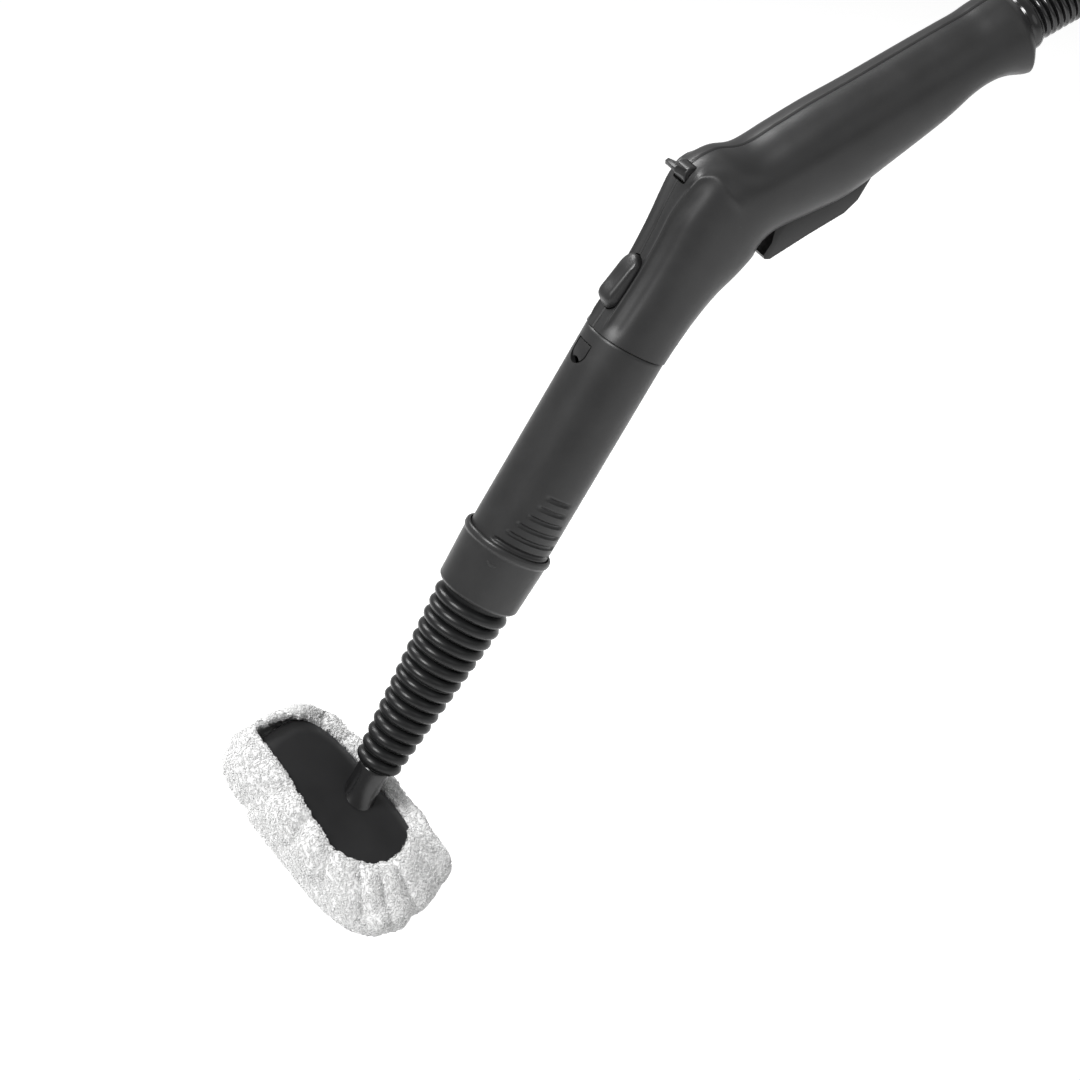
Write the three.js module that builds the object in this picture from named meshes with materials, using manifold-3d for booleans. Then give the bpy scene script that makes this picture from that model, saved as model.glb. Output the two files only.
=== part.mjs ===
// A steam mop handset: a hand-held steam gun with its adapter tube, a twist collar,
// a tapered corrugated rubber neck, a small brush head in a terry bonnet and its hose.
// Millimetres, +Z up. The origin is the middle of the handle grip, where a hand holds it.
// The handset is symmetric about the plane Y = 0, and -Y is its left side.

import * as THREE from 'three';
import { mergeVertices, toCreasedNormals } from 'three/addons/utils/BufferGeometryUtils.js';
import Module from 'manifold-3d';

const wasm = await Module();
wasm.setup();

const radians = THREE.MathUtils.degToRad;

// ---------- Driving dimensions ----------

const gap = 0.3;              // clearance between two fixed pieces that touch
const play = 0.5;             // clearance round a piece that moves

const toolLean = 32.5;        // degrees that the tube leans back from upright
const kink = 36.5;            // degrees between the tube and the handle
const noseLength = 65;        // from the tube joint to the bend of the handset
const bendRise = 4.2;         // how far the handle's line passes above the tube's axis there
const gripDistance = 95;      // from the bend to the middle of the grip, along the handle
const handleDrop = 4;         // the handle's own centre lies this far under its line
const handleLength = 146;     // from the bend to the butt's end face
const shellWall = 2.6;

const tubeRadius = 17.5;
const tubeWall = 2.5;
const tubeLength = 97;        // the part of the tube that shows, down to the collar
const tubeSpigotLength = 16;
const conduitRadius = 8;      // bore of the steam conduit inside the tube
const conduitWall = 1.6;
const socketDepth = 34;       // from the joint to the mouth of the conduit

const grooveCount = 6;
const groovePitch = 5;
const grooveWidth = 1.8;
const grooveDepth = 0.6;
const windowWidth = 11;
const windowStart = 6;        // from the joint to the straight edge of the latch window
const windowStraight = 4.5;

const collarLength = 27;
const collarRimWall = 1.5;    // the collar's rim outside the tube and its play
const collarEndStep = 0.1;    // the collar's neck end stands this far outside the tube's surface
const collarRimRadius = tubeRadius + play + collarRimWall;
const collarEndRadius = tubeRadius + collarEndStep;
const collarOverlap = 3;      // the collar's rim covers this much of the tube

const bumpCount = 15;
const bumpPitch = 5.6;
const bumpRadiusTop = 16.5;
const bumpRadiusEnd = 10.2;
const bumpDepth = 2.5;
const neckBoreTop = 9;
const neckBoreEnd = 5.2;

const stemRadius = 7;         // the glossy pipe between the rubber neck and the head
const stemFlare = 9.5;
const stemLength = 18;
const stemBore = 3.5;

const headLean = 29.2;        // degrees between the neck's axis and the head's normal
const headTurn = -106.4;      // direction in which the head leans, round the neck
const headTwist = 55.6;       // the head's turn about its own normal
const plateLength = 84;
const plateWidth = 50;
const plateHeight = 9;
const plateBevel = 4;         // height of the plate's sloping shoulder
const shoulderWidth = 7;      // width of that shoulder, seen from above
const stemAlong = 1;          // where the stem stands on the plate, from its middle
const stemAcross = 12;
const gasketHeight = 1;
const baseHeight = 3.2;
const padHeight = 4;
const clothThickness = 4.5;
const bonnetFloor = 3.2;
const bonnetSlack = 4.5;      // room between the plate's ends and the loose cloth
const bonnetShift = 2;        // the bonnet sits this far towards the stem's side
const bonnetAlong = 3;        // and this far towards the plate's round end
const bonnetHem = 3.4;        // how far the hem reaches over the plate's edge
const hemHeight = 5;
const elasticWidth = 1.8;
const elasticHeight = 2.4;

const hoseRadius = 10;
const plugRadius = 13;
const plugLength = 52;

// ---------- Colours ----------

const charcoal = new THREE.MeshStandardMaterial({ color: 0x3c3d3e, roughness: 0.5, metalness: 0 });
const darkGrip = new THREE.MeshStandardMaterial({ color: 0x2c2d2e, roughness: 0.55, metalness: 0 });
const bellowsRubber = new THREE.MeshStandardMaterial({ color: 0x1c1d1e, roughness: 0.6, metalness: 0 });
const glossBlack = new THREE.MeshStandardMaterial({ color: 0x101112, roughness: 0.2, metalness: 0 });
const terry = new THREE.MeshStandardMaterial({ color: 0xe8e8e8, roughness: 0.95, metalness: 0 });
const elasticWhite = new THREE.MeshStandardMaterial({ color: 0xdcdcdc, roughness: 0.9, metalness: 0 });
const bristleGrey = new THREE.MeshStandardMaterial({ color: 0x8c8c8c, roughness: 0.8, metalness: 0 });
const steel = new THREE.MeshStandardMaterial({ color: 0xb8bcc0, roughness: 0.3, metalness: 1 });
const brass = new THREE.MeshStandardMaterial({ color: 0xb08d4a, roughness: 0.35, metalness: 1 });
const sealRubber = new THREE.MeshStandardMaterial({ color: 0x18181a, roughness: 0.7, metalness: 0 });

// ---------- Solids and booleans ----------

function toSolid(geometry) {
  const bare = geometry.clone();
  bare.deleteAttribute('normal');
  bare.deleteAttribute('uv');
  const merged = mergeVertices(bare, 1e-4);
  return new wasm.Manifold(new wasm.Mesh({
    numProp: 3,
    vertProperties: Float32Array.from(merged.attributes.position.array),
    triVerts: Uint32Array.from(merged.index.array),
  }));
}

function toGeometry(solid) {
  const mesh = solid.getMesh();
  const geometry = new THREE.BufferGeometry();
  geometry.setAttribute('position', new THREE.BufferAttribute(mesh.vertProperties, 3));
  geometry.setIndex(new THREE.BufferAttribute(mesh.triVerts, 1));
  return toCreasedNormals(geometry, radians(35));
}

function cut(body, ...tools) {
  let solid = toSolid(body);
  for (const tool of tools) solid = solid.subtract(toSolid(tool));
  return toGeometry(solid);
}

function join(...bodies) {
  let solid = toSolid(bodies[0]);
  for (const body of bodies.slice(1)) solid = solid.add(toSolid(body));
  return toGeometry(solid);
}

function common(first, second) {
  return toGeometry(toSolid(first).intersect(toSolid(second)));
}

// A box given by its low and high corners.
function block(low, high) {
  const geometry = new THREE.BoxGeometry(high[0] - low[0], high[1] - low[1], high[2] - low[2]);
  return geometry.translate(
    (low[0] + high[0]) / 2, (low[1] + high[1]) / 2, (low[2] + high[2]) / 2);
}

// A solid turned about Z from a closed outline of [radius, height] points, which
// runs round its section so that the faces point out.
function turned(outline, segments = 32) {
  const points = outline.map(([radius, height]) => new THREE.Vector2(radius, height));
  if (outline[0][0] > 0) points.push(points[0].clone());
  if (THREE.ShapeUtils.area(points) < 0) points.reverse();
  return new THREE.LatheGeometry(points, segments).rotateX(Math.PI / 2);
}

// A rod along Y between two heights y, centred on x and z.
function crossRod(radius, x, z, yLow, yHigh, segments = 12) {
  const rod = new THREE.CylinderGeometry(radius, radius, yHigh - yLow, segments);
  return rod.translate(x, (yLow + yHigh) / 2, z);
}

// A flat outline in the X-Z plane, pushed along Y from yLow to yHigh.
function sideProfile(points, yLow, yHigh) {
  const shape = new THREE.Shape(points.map(([x, z]) => new THREE.Vector2(x, z)));
  const geometry = new THREE.ExtrudeGeometry(shape, { depth: yHigh - yLow, bevelEnabled: false });
  return geometry.rotateX(Math.PI / 2).translate(0, yHigh, 0);
}

// A flat outline in the X-Y plane, pushed along Z from zLow to zHigh.
function raised(shape, zLow, zHigh, curveSegments = 8) {
  const options = { depth: zHigh - zLow, bevelEnabled: false, curveSegments };
  return new THREE.ExtrudeGeometry(shape, options).translate(0, 0, zLow);
}

// A flat outline in the Y-Z plane, pushed along X from xLow to xHigh.
function frontProfile(shape, xLow, xHigh, curveSegments = 8) {
  return raised(shape, xLow, xHigh, curveSegments).rotateX(Math.PI / 2).rotateZ(Math.PI / 2);
}

// An outline with round ends, from one height to another.
function stadium(width, low, high) {
  const shape = new THREE.Shape();
  shape.absarc(0, low + width / 2, width / 2, Math.PI, 2 * Math.PI, false);
  shape.absarc(0, high - width / 2, width / 2, 0, Math.PI, false);
  shape.closePath();
  return shape;
}

// A rod of round section that follows a curve.
function rodAlong(curve, radius, steps, sides) {
  const points = [];
  for (let i = 0; i < sides; i += 1) {
    const angle = (i / sides) * 2 * Math.PI;
    points.push(new THREE.Vector2(radius * Math.cos(angle), radius * Math.sin(angle)));
  }
  const options = { steps, extrudePath: curve, bevelEnabled: false };
  return new THREE.ExtrudeGeometry(new THREE.Shape(points), options);
}

// A solid skinned over rings of points, all with as many points, and capped.
function skinned(rings) {
  const count = rings[0].length;
  const positions = rings.flat().flatMap((point) => [point.x, point.y, point.z]);
  const index = [];
  for (let i = 0; i < rings.length - 1; i += 1) {
    for (let j = 0; j < count; j += 1) {
      const a = i * count + j;
      const b = i * count + ((j + 1) % count);
      index.push(a, b, b + count, a, b + count, a + count);
    }
  }
  for (const [ring, first] of [[rings[0], true], [rings[rings.length - 1], false]]) {
    const middle = new THREE.Vector3();
    for (const point of ring) middle.addScaledVector(point, 1 / count);
    const centre = positions.length / 3;
    positions.push(middle.x, middle.y, middle.z);
    const start = first ? 0 : (rings.length - 1) * count;
    for (let j = 0; j < count; j += 1) {
      const a = start + j;
      const b = start + ((j + 1) % count);
      index.push(...(first ? [centre, b, a] : [centre, a, b]));
    }
  }
  const geometry = new THREE.BufferGeometry();
  geometry.setAttribute('position', new THREE.Float32BufferAttribute(positions, 3));
  geometry.setIndex(index);
  geometry.computeVertexNormals();
  return geometry;
}

function mesh(name, geometry, material) {
  const piece = new THREE.Mesh(geometry, material);
  piece.name = name;
  return piece;
}

// ---------- The handset's skin ----------

// The handset is drawn in the tool frame: +Z runs up the tube's axis from the joint,
// +X is the underside, and the handle bends over towards +X.
const bend = new THREE.Vector2(-bendRise, noseLength);
const kinkAngle = radians(kink);
const alongHandle = new THREE.Vector2(Math.sin(kinkAngle), Math.cos(kinkAngle));
const underHandle = new THREE.Vector2(Math.cos(kinkAngle), -Math.sin(kinkAngle));

// A point on the handle, by its distance from the bend and its depth under the line.
function onHandle(along, under) {
  return bend.clone().addScaledVector(alongHandle, along).addScaledVector(underHandle, under);
}

// Each station is a cross-section: its centre's place, its turn in degrees, and how far it
// reaches over its centre, under it and to each side.
const noseStations = [
  [0, 0, 0, 0, 0, 0],
  [0, 0.123, 0, -0.7, 0.6, -0.2],
  [0, 0.31, 0, -1.6, 2.1, -0.3],
  [0, 0.5, 0, -1.9, 4.7, -0.1],
  [0, 0.69, 2, -1.3, 8.8, 0.4],
  [0.3, 0.87, 9, 0.5, 11.1, 0.7],
  [2.2, 1.01, 20, 3.1, 10.1, 0.9],
  [6.6, 1.128, 30, 2.1, 7.9, 0.9],
].map(([x, share, turn, ...more]) => [x, share * noseLength, turn, ...more.map((m) => tubeRadius + m)]);

const handleStations = [
  [22.5, 15.2, 23.8, 18.3],
  [38, 15.6, 25.4, 18.5],
  [54, 16.3, 26.6, 18.4],
  [75, 16.3, 23.4, 17.6],
  [101, 16.8, 18.4, 17],
  [116, 17, 13.6, 16.5],
  [125, 17, 12.6, 16.5],
  [132, 17.6, 14, 17],
  [140, 17.8, 17.8, 17.6],
  [142.5, 17, 17.6, 17.2],
  [handleLength, 13.4, 12.4, 13.4],
].map(([along, over, under, side]) => {
  const centre = onHandle(along, handleDrop);
  return [centre.x, centre.y, kink, over, under, side];
});

const stations = [...noseStations, ...handleStations];

// One cross-section as a ring of points, drawn in by the wall where it is given.
function sectionRing([x, z, turn, over, under, side], wall, count = 24) {
  const ring = [];
  const roundness = 2 / 2.15;
  for (let i = 0; i < count; i += 1) {
    const angle = (i / count) * 2 * Math.PI;
    const c = Math.cos(angle);
    const s = Math.sin(angle);
    const reach = (c > 0 ? under : over) - wall;
    const across = Math.sign(c) * Math.abs(c) ** roundness * reach;
    const y = Math.sign(s) * Math.abs(s) ** roundness * (side - wall);
    ring.push(new THREE.Vector3(
      x + across * Math.cos(radians(turn)), y, z - across * Math.sin(radians(turn))));
  }
  return ring;
}

// Stations between the listed ones, on a smooth curve through them.
function between(list, steps) {
  const smooth = (a, b, c, d, t) => b + 0.5 * t * (c - a
    + t * (2 * a - 5 * b + 4 * c - d + t * (3 * (b - c) + d - a)));
  const all = [];
  for (let i = 0; i < list.length - 1; i += 1) {
    const near = [list[Math.max(i - 1, 0)], list[i], list[i + 1], list[Math.min(i + 2, list.length - 1)]];
    for (let k = 0; k < steps; k += 1) {
      all.push(list[i].map((_, n) => smooth(...near.map((station) => station[n]), k / steps)));
    }
  }
  all.push(list[list.length - 1]);
  return all;
}

function handsetSkin() {
  return skinned(between(stations, 2).map((station) => sectionRing(station, 0)));
}

// Turns and moves a geometry drawn along +Z so that it lies along the handle.
function placeOnHandle(geometry, along, under) {
  const spot = onHandle(along, under);
  return geometry.rotateY(kinkAngle).translate(spot.x, 0, spot.y);
}

// The space inside the shell, open at the joint and closed before the butt.
const buttWall = 3.5;

function handsetHollow() {
  const rings = stations.map((station) => sectionRing(station, shellWall, 16));
  const kept = rings.slice(0, rings.length - 2);
  for (const point of kept[0]) point.z -= 1;
  const end = onHandle(handleLength - buttWall, handleDrop);
  kept.push(sectionRing([end.x, end.y, kink, 14.4, 14.4, 14.4], 0, 16));
  return skinned(kept);
}

// ---------- Places of the handset's works, in the tool frame ----------

const pinRadius = 1.2;
const pinHole = 1.35;
const latchPinReach = tubeRadius - 6.5;   // half the latch pin's length: it ends in the shell's walls

const buttonStart = 9.5;       // the release button, measured from the joint
const buttonLength = 24;
const buttonWidth = 10.5;
const buttonRise = 6;         // how proud its front end stands
const buttonRearRise = 3.2;   // how proud its rear end stands
const latchPivot = { x: -8.7, z: buttonStart + buttonLength + 7 };
const hookRadius = windowWidth / 2 - 0.8;

const lockPivot = { x: -15.4, z: noseLength + 5.8 };
const lockWidth = 9;
const lockReach = 8.4;

const triggerWidth = 14;
const triggerPivot = { along: 66, under: 22 };
const switchSpot = { along: 46, under: 12.7 };
const plungerSpot = { along: 41, under: 19 };
const triggerSpringAlong = 26;
const pipeRadius = 3.5;
const pipeBore = 2.2;
const pipeUnder = 3;
const nozzleRadius = 6.4;
const nozzleTip = -46;
const nozzleBore = 2.5;
const nozzleRear = 20;
const ferruleStart = 130;
const ferruleEnd = 152;
const ferruleRadius = 11;

const screwRadius = 1.4;
const screwHeadRadius = 2.8;
const bossRadius = 4.4;
const screwSpots = {
  shell_screw_nose_front: new THREE.Vector2(12, 14),
  shell_screw_nose_rear: new THREE.Vector2(19, 44),
  shell_screw_handle_front: onHandle(50, -7),
  shell_screw_handle_middle: onHandle(84, 14),
  shell_screw_handle_rear: onHandle(120, -6.5),
};

// ---------- Handset shells ----------

// Everything that is cut through both shells.
function shellCuts() {
  const slot = stadium(buttonWidth + 2 * play, buttonStart - play, buttonStart + buttonLength + play);
  const lockSlot = block(
    [-30, -lockWidth / 2 - play, lockPivot.z - 6], [lockPivot.x + 3.4, lockWidth / 2 + play, lockPivot.z + 4]);
  const triggerSlot = placeOnHandle(
    block([2.5, -triggerWidth / 2 - play, 0], [26, triggerWidth / 2 + play, 60.5]), 10.5, 19);
  const buttHole = placeOnHandle(
    new THREE.CylinderGeometry(ferruleRadius + gap, ferruleRadius + gap, 20, 32)
      .rotateX(Math.PI / 2), handleLength, handleDrop);
  const trigger = onHandle(triggerPivot.along, triggerPivot.under);
  const armRoom = latchPivot.z + 3.4;
  return [
    block([-14.2, -4.8, -5], [-8, 4.8, 9.6]),
    block([-10.4, -4.8, 5], [-6, 4.8, armRoom]),
    crossRod(3, latchPivot.x, latchPivot.z, -4.8, 4.8),
    frontProfile(slot, -30, -5),
    lockSlot,
    triggerSlot,
    buttHole,
    crossRod(pinHole, latchPivot.x, latchPivot.z, -latchPinReach - 0.4, latchPinReach + 0.4),
    crossRod(pinHole, lockPivot.x, lockPivot.z, -6.1, 6.1),
    crossRod(pinHole, trigger.x, trigger.y, -10.9, 10.9),
  ];
}

// The ribs that carry the steam pipe and the shelf behind the trigger spring.
function shellRibs() {
  const shelf = placeOnHandle(block([11, -30, 0], [13.2, 30, 9]), triggerSpringAlong - 4.5, 0);
  const noseRib = block([-5.6, -30, 29], [40, 30, 31]);
  const middleRib = placeOnHandle(block([-30, -30, 0], [40, 30, 2]), 94, 0);
  const buttRib = placeOnHandle(block([-30, -30, 0], [40, 30, 2]), 127, 0);
  return [noseRib, middleRib, buttRib, shelf];
}

function shellHalf(side) {
  const skin = handsetSkin();
  const inside = toSolid(skinned(
    stations.map((station) => sectionRing(station, shellWall / 2, 16))));
  let solid = toSolid(skin).subtract(toSolid(handsetHollow()));
  for (const rib of shellRibs()) solid = solid.add(toSolid(rib).intersect(inside));
  for (const spot of Object.values(screwSpots)) {
    const boss = crossRod(bossRadius, spot.x, spot.y, -30, 30);
    solid = solid.add(toSolid(boss).intersect(inside));
  }
  for (const tool of shellCuts()) solid = solid.subtract(toSolid(tool));
  solid = solid.subtract(toSolid(steamPipeRoom()));
  for (const spot of Object.values(screwSpots)) {
    const shank = crossRod(screwRadius + gap, spot.x, spot.y, -9, 12);
    const recess = crossRod(screwHeadRadius + gap, spot.x, spot.y, 9 - gap, 40);
    solid = solid.subtract(toSolid(shank)).subtract(toSolid(recess));
  }
  const [low, high] = side === 'left' ? [-60, -gap / 2] : [gap / 2, 60];
  return toGeometry(solid.intersect(toSolid(block([-120, low, -20], [250, high, 250]))));
}

function shellScrew(spot) {
  const outline = [
    [0, -8], [screwRadius, -8], [screwRadius, 9], [screwHeadRadius, 9], [screwHeadRadius, 10.4],
    [1.6, 11], [0, 11],
  ];
  return turned(outline, 12).rotateX(-Math.PI / 2).translate(spot.x, 0, spot.y);
}

// ---------- Release latch ----------

// One moulding: the thumb button, the arm behind it and the hook that shows in the
// tube's window. It turns about a pin at its rear end.
function latchLever() {
  const tip = new THREE.Shape();
  tip.moveTo(-hookRadius, -windowStart - 0.6);
  tip.lineTo(-hookRadius, -windowStart - windowStraight);
  tip.absarc(0, -windowStart - windowStraight, hookRadius, Math.PI, 2 * Math.PI, false);
  tip.lineTo(hookRadius, -windowStart - 0.6);
  const hook = frontProfile(tip, -tubeRadius + 0.8, -12.4);
  const frontArm = block([-13.6, -4.2, -windowStart - windowStraight - 2], [-11.8, 4.2, 9]);
  const knee = block([-13.2, -4.2, 6], [-7.6, 4.2, 9]);
  const rearArm = block([-9.8, -4.2, 6], [-7.6, 4.2, latchPivot.z]);
  const barrel = crossRod(2.4, latchPivot.x, latchPivot.z, -4.2, 4.2);
  const front = buttonStart;
  const rear = buttonStart + buttonLength;
  const button = common(
    frontProfile(stadium(buttonWidth, front, rear), -30, -8.2),
    sideProfile([
      [-8.2, front - 1], [-15.6 - buttonRise / 2, front - 1], [-16.2 - buttonRise, front + 3.4],
      [-16.6 - buttonRise, front + 5], [-16.2 - buttonRise, front + 7],
      [-15.6 - buttonRearRise, rear - 2.4], [-15.6, rear + 1], [-8.2, rear + 1],
    ], -10, 10));
  const lever = join(rearArm, knee, frontArm, hook, barrel, button);
  return cut(lever, crossRod(pinHole, latchPivot.x, latchPivot.z, -10, 10));
}

// A coil spring along Z, standing on z = 0.
function coilSpring(radius, wire, length, turns) {
  const points = [];
  const perTurn = 8;
  for (let i = 0; i <= turns * perTurn; i += 1) {
    const angle = (i / perTurn) * 2 * Math.PI;
    const height = wire + (i / (turns * perTurn)) * (length - 2 * wire);
    points.push(new THREE.Vector3(radius * Math.cos(angle), radius * Math.sin(angle), height));
  }
  return rodAlong(new THREE.CatmullRomCurve3(points), wire, turns * perTurn, 5);
}

// ---------- Steam lock lever ----------

function lockLever() {
  const barrel = crossRod(2.6, lockPivot.x, lockPivot.z, -lockWidth / 2, lockWidth / 2);
  const root = lockPivot.x;
  const finger = sideProfile([
    [root, lockPivot.z - 1.6], [root - lockReach, lockPivot.z - 1.3],
    [root - lockReach - 0.8, lockPivot.z], [root - lockReach, lockPivot.z + 1.3],
    [root, lockPivot.z + 1.6],
  ], -lockWidth / 2 + 0.4, lockWidth / 2 - 0.4);
  return cut(join(barrel, finger), crossRod(pinHole, lockPivot.x, lockPivot.z, -10, 10));
}

// ---------- Trigger and steam switch ----------

function trigger() {
  const along = triggerPivot.along;
  const under = triggerPivot.under;
  const profile = [
    [37.4, 15.4], [36.2, 13.4], [34.4, 13.4], [31.2, 18.4], [26, 22], [24.6, 30], [22.6, 44],
    [under - 3, along - 4], [under - 3.4, along], [under - 2.6, along + 2.6],
    [under + 0.4, along + 3.6], [under + 4.4, along + 2], [33.8, 58], [36, 51], [36.4, 34], [37.2, 21],
  ];
  const body = sideProfile(profile, -triggerWidth / 2, triggerWidth / 2);
  const bore = crossRod(pinHole, under, along, -20, 20);
  return placeOnHandle(cut(body, bore), 0, 0);
}

function microswitch() {
  const { along, under } = switchSpot;
  const body = block([under - 4.5, -3.5, along - 10], [under + 4.5, 3.5, along + 10]);
  const bore = block([under, -2.4, plungerSpot.along - 1.9], [under + 9, 2.4, plungerSpot.along + 1.9]);
  return placeOnHandle(cut(body, bore), 0, 0);
}

function switchPlunger() {
  const low = switchSpot.under + 2.4;
  const body = block([low, -2, plungerSpot.along - 1.5], [22.6, 2, plungerSpot.along + 1.5]);
  return placeOnHandle(body, 0, 0);
}

// ---------- Steam path ----------

function pipeLine(first, last) {
  const points = [new THREE.Vector3(0, 0, first), new THREE.Vector3(0, 0, 44)];
  for (const along of [22, 44, 70, 100, last]) {
    const spot = onHandle(along, along < 30 ? pipeUnder + 1.5 : pipeUnder);
    points.push(new THREE.Vector3(spot.x, 0, spot.y));
  }
  return new THREE.CatmullRomCurve3(points, false, 'centripetal');
}

function steamPipe() {
  const outer = rodAlong(pipeLine(nozzleRear - 8, ferruleStart - gap), pipeRadius, 16, 12);
  const bore = rodAlong(pipeLine(nozzleRear - 10, ferruleStart + 3), pipeBore, 16, 10);
  return cut(outer, bore);
}

// The clearance that the shells leave round the pipe.
function steamPipeRoom() {
  return rodAlong(pipeLine(nozzleRear - 8, ferruleStart + 4), pipeRadius + gap, 16, 12);
}

const sealHeights = [-38, -42.5];
const sealRadius = 0.9;
const sealGroove = nozzleRadius - 0.8;

function steamNozzle() {
  const outline = [[nozzleBore, nozzleTip], [nozzleRadius - 1, nozzleTip], [nozzleRadius, nozzleTip + 1]];
  for (const height of [...sealHeights].reverse()) {
    outline.push([nozzleRadius, height - 1.2], [sealGroove, height - 1.2]);
    outline.push([sealGroove, height + 1.2], [nozzleRadius, height + 1.2]);
  }
  const socket = pipeRadius + gap + 1.1;
  outline.push([nozzleRadius, -1], [8.4, -1], [8.4, 3], [socket, 3], [socket, nozzleRear]);
  outline.push([pipeRadius + gap, nozzleRear], [pipeRadius + gap, nozzleRear - 8 - gap]);
  outline.push([nozzleBore, nozzleRear - 8 - gap]);
  return turned(outline, 24);
}

function nozzleSeal(height) {
  const ring = new THREE.TorusGeometry(sealGroove + sealRadius + 0.25, sealRadius, 6, 20);
  return ring.translate(0, 0, height);
}

function hoseFerrule() {
  const wall = handleLength - buttWall;
  const r = ferruleRadius;
  const outline = [
    [4, ferruleStart + 0], [7, ferruleStart], [8, ferruleStart + 6], [12.4, ferruleStart + 8],
    [12.4, wall - gap], [r, wall - gap], [r, handleLength], [r - 1, ferruleEnd], [4, ferruleEnd],
  ];
  return placeOnHandle(turned(outline, 24), 0, handleDrop);
}

// ---------- Adapter tube ----------

// A ring sector used to cut one grip groove, centred on the given side of the tube.
function groove(halfAngle, height, side) {
  const shape = new THREE.Shape();
  const middle = side * Math.PI / 2;
  const half = radians(halfAngle);
  shape.absarc(0, 0, tubeRadius + 2, middle - half, middle + half, false);
  shape.absarc(0, 0, tubeRadius - grooveDepth, middle + half, middle - half, true);
  shape.closePath();
  return raised(shape, height - grooveWidth / 2, height + grooveWidth / 2, 4);
}

function adapterTube() {
  const r = tubeRadius;
  const inner = r - tubeWall;
  const end = -tubeLength;
  const web = end + 10;
  const spigot = tubeRadius - 2.2;
  const outline = [
    [conduitRadius, -socketDepth], [conduitRadius + conduitWall, -socketDepth],
    [conduitRadius + conduitWall, web], [inner, web], [inner, -gap], [r, -gap], [r, end],
    [spigot, end], [spigot, end - tubeSpigotLength], [conduitRadius, end - tubeSpigotLength],
  ];
  const window = new THREE.Shape();
  window.moveTo(-windowWidth / 2, -windowStart);
  window.lineTo(-windowWidth / 2, -windowStart - windowStraight);
  window.absarc(0, -windowStart - windowStraight, windowWidth / 2, Math.PI, 2 * Math.PI, false);
  window.lineTo(windowWidth / 2, -windowStart);
  const tools = [frontProfile(window, -30, -10)];
  const first = end + collarOverlap + 1.6;
  for (let i = 0; i < grooveCount; i += 1) {
    const halfAngle = [57, 45, 38, 30, 23, 20][i % 6];
    for (const side of [-1, 1]) tools.push(groove(halfAngle, first + i * groovePitch, side));
  }
  return cut(turned(outline, 36), ...tools);
}

// ---------- Twist collar and corrugated neck ----------

const collarTop = -tubeLength + collarOverlap;
const collarBottom = collarTop - collarLength;
const spigotRadius = tubeRadius - 2.2;

function collar() {
  const step = -tubeLength - gap;
  const floor = -tubeLength - tubeSpigotLength - play;
  const outline = [
    [tubeRadius + play, collarTop], [collarRimRadius - 0.6, collarTop],
    [collarRimRadius, collarTop - 1], [collarRimRadius, collarTop - 3],
    [collarRimRadius - 0.9, collarTop - 4.2], [collarEndRadius + 0.3, collarBottom + 1],
    [collarEndRadius - 0.6, collarBottom], [neckBoreTop + 3.4, collarBottom],
    [neckBoreTop + 3.4, floor], [spigotRadius + play, floor], [spigotRadius + play, step],
    [tubeRadius + play, step],
  ];
  return turned(outline, 36);
}

const neckTop = collarBottom - gap;
const firstBump = collarBottom - 2.6;

function bumpRadius(index) {
  return bumpRadiusTop + (bumpRadiusEnd - bumpRadiusTop) * (index / (bumpCount - 1));
}

function neckBore(z) {
  const share = (neckTop - z) / (bumpCount * bumpPitch + 2.6);
  return neckBoreTop + (neckBoreEnd - neckBoreTop) * share;
}

// One length of the corrugated neck, from one bump to another. The top length has a
// plain cuff that goes up into the collar.
function neckLength(first, last) {
  const outline = [];
  const start = firstBump - first * bumpPitch;
  const end = firstBump - last * bumpPitch + gap;
  if (first === 0) {
    const cuff = neckBoreTop + 3;
    const cuffTop = -tubeLength - tubeSpigotLength - 2 * play;
    outline.push([neckBoreTop, cuffTop], [cuff, cuffTop], [cuff, neckTop]);
    outline.push([bumpRadiusTop - bumpDepth, neckTop]);
  } else {
    outline.push([neckBore(start), start]);
  }
  for (let i = first; i < last; i += 1) {
    const top = firstBump - i * bumpPitch;
    const crest = bumpRadius(i);
    const valley = crest - bumpDepth;
    const shapeOfBump = [[valley, 0], [crest - 0.7, 0.9], [crest, 2.4], [crest - 0.7, 3.9], [valley, 4.8]];
    for (const [radius, drop] of shapeOfBump) outline.push([radius, top - drop]);
  }
  outline.push([bumpRadius(last - 1) - bumpDepth, end], [neckBore(end), end]);
  return turned(outline, 18);
}

const neckSplits = [0, 5, 10, bumpCount];
const neckEnd = firstBump - bumpCount * bumpPitch;
const headHeight = neckEnd - stemLength + 4;   // where the neck's axis meets the plate

// ---------- Head ----------

// The head frame has its origin where the neck's axis meets the plate, +Z out of the
// plate towards the neck and +X along the plate. Rings are rounded rectangles.
const plateMiddle = { x: -stemAlong, y: -stemAcross };

function headRing(halfLength, halfWidth, z, across = 0, along = 0, count = 32) {
  const ring = [];
  const roundness = 2 / 3.4;
  for (let i = 0; i < count; i += 1) {
    const angle = (i / count) * 2 * Math.PI;
    const c = Math.cos(angle);
    const s = Math.sin(angle);
    const x = Math.sign(c) * Math.abs(c) ** roundness * halfLength;
    const y = Math.sign(s) * Math.abs(s) ** roundness * halfWidth;
    ring.push(new THREE.Vector3(plateMiddle.x + along + x, plateMiddle.y + across + y, z));
  }
  return ring;
}

function plateRing(inset, z) {
  return headRing(plateLength / 2 - inset, plateWidth / 2 - inset, z);
}

const plateBottom = -plateHeight;
const gasketTop = plateBottom - gap;
const baseTop = gasketTop - gasketHeight - gap;
const padTop = baseTop - baseHeight - gap;
const bonnetInside = padTop - padHeight - gap;
const bonnetBottom = bonnetInside - bonnetFloor;
const headScrewPlaces = [[-30, -13], [-30, 13], [30, -13], [30, 13]];

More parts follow.
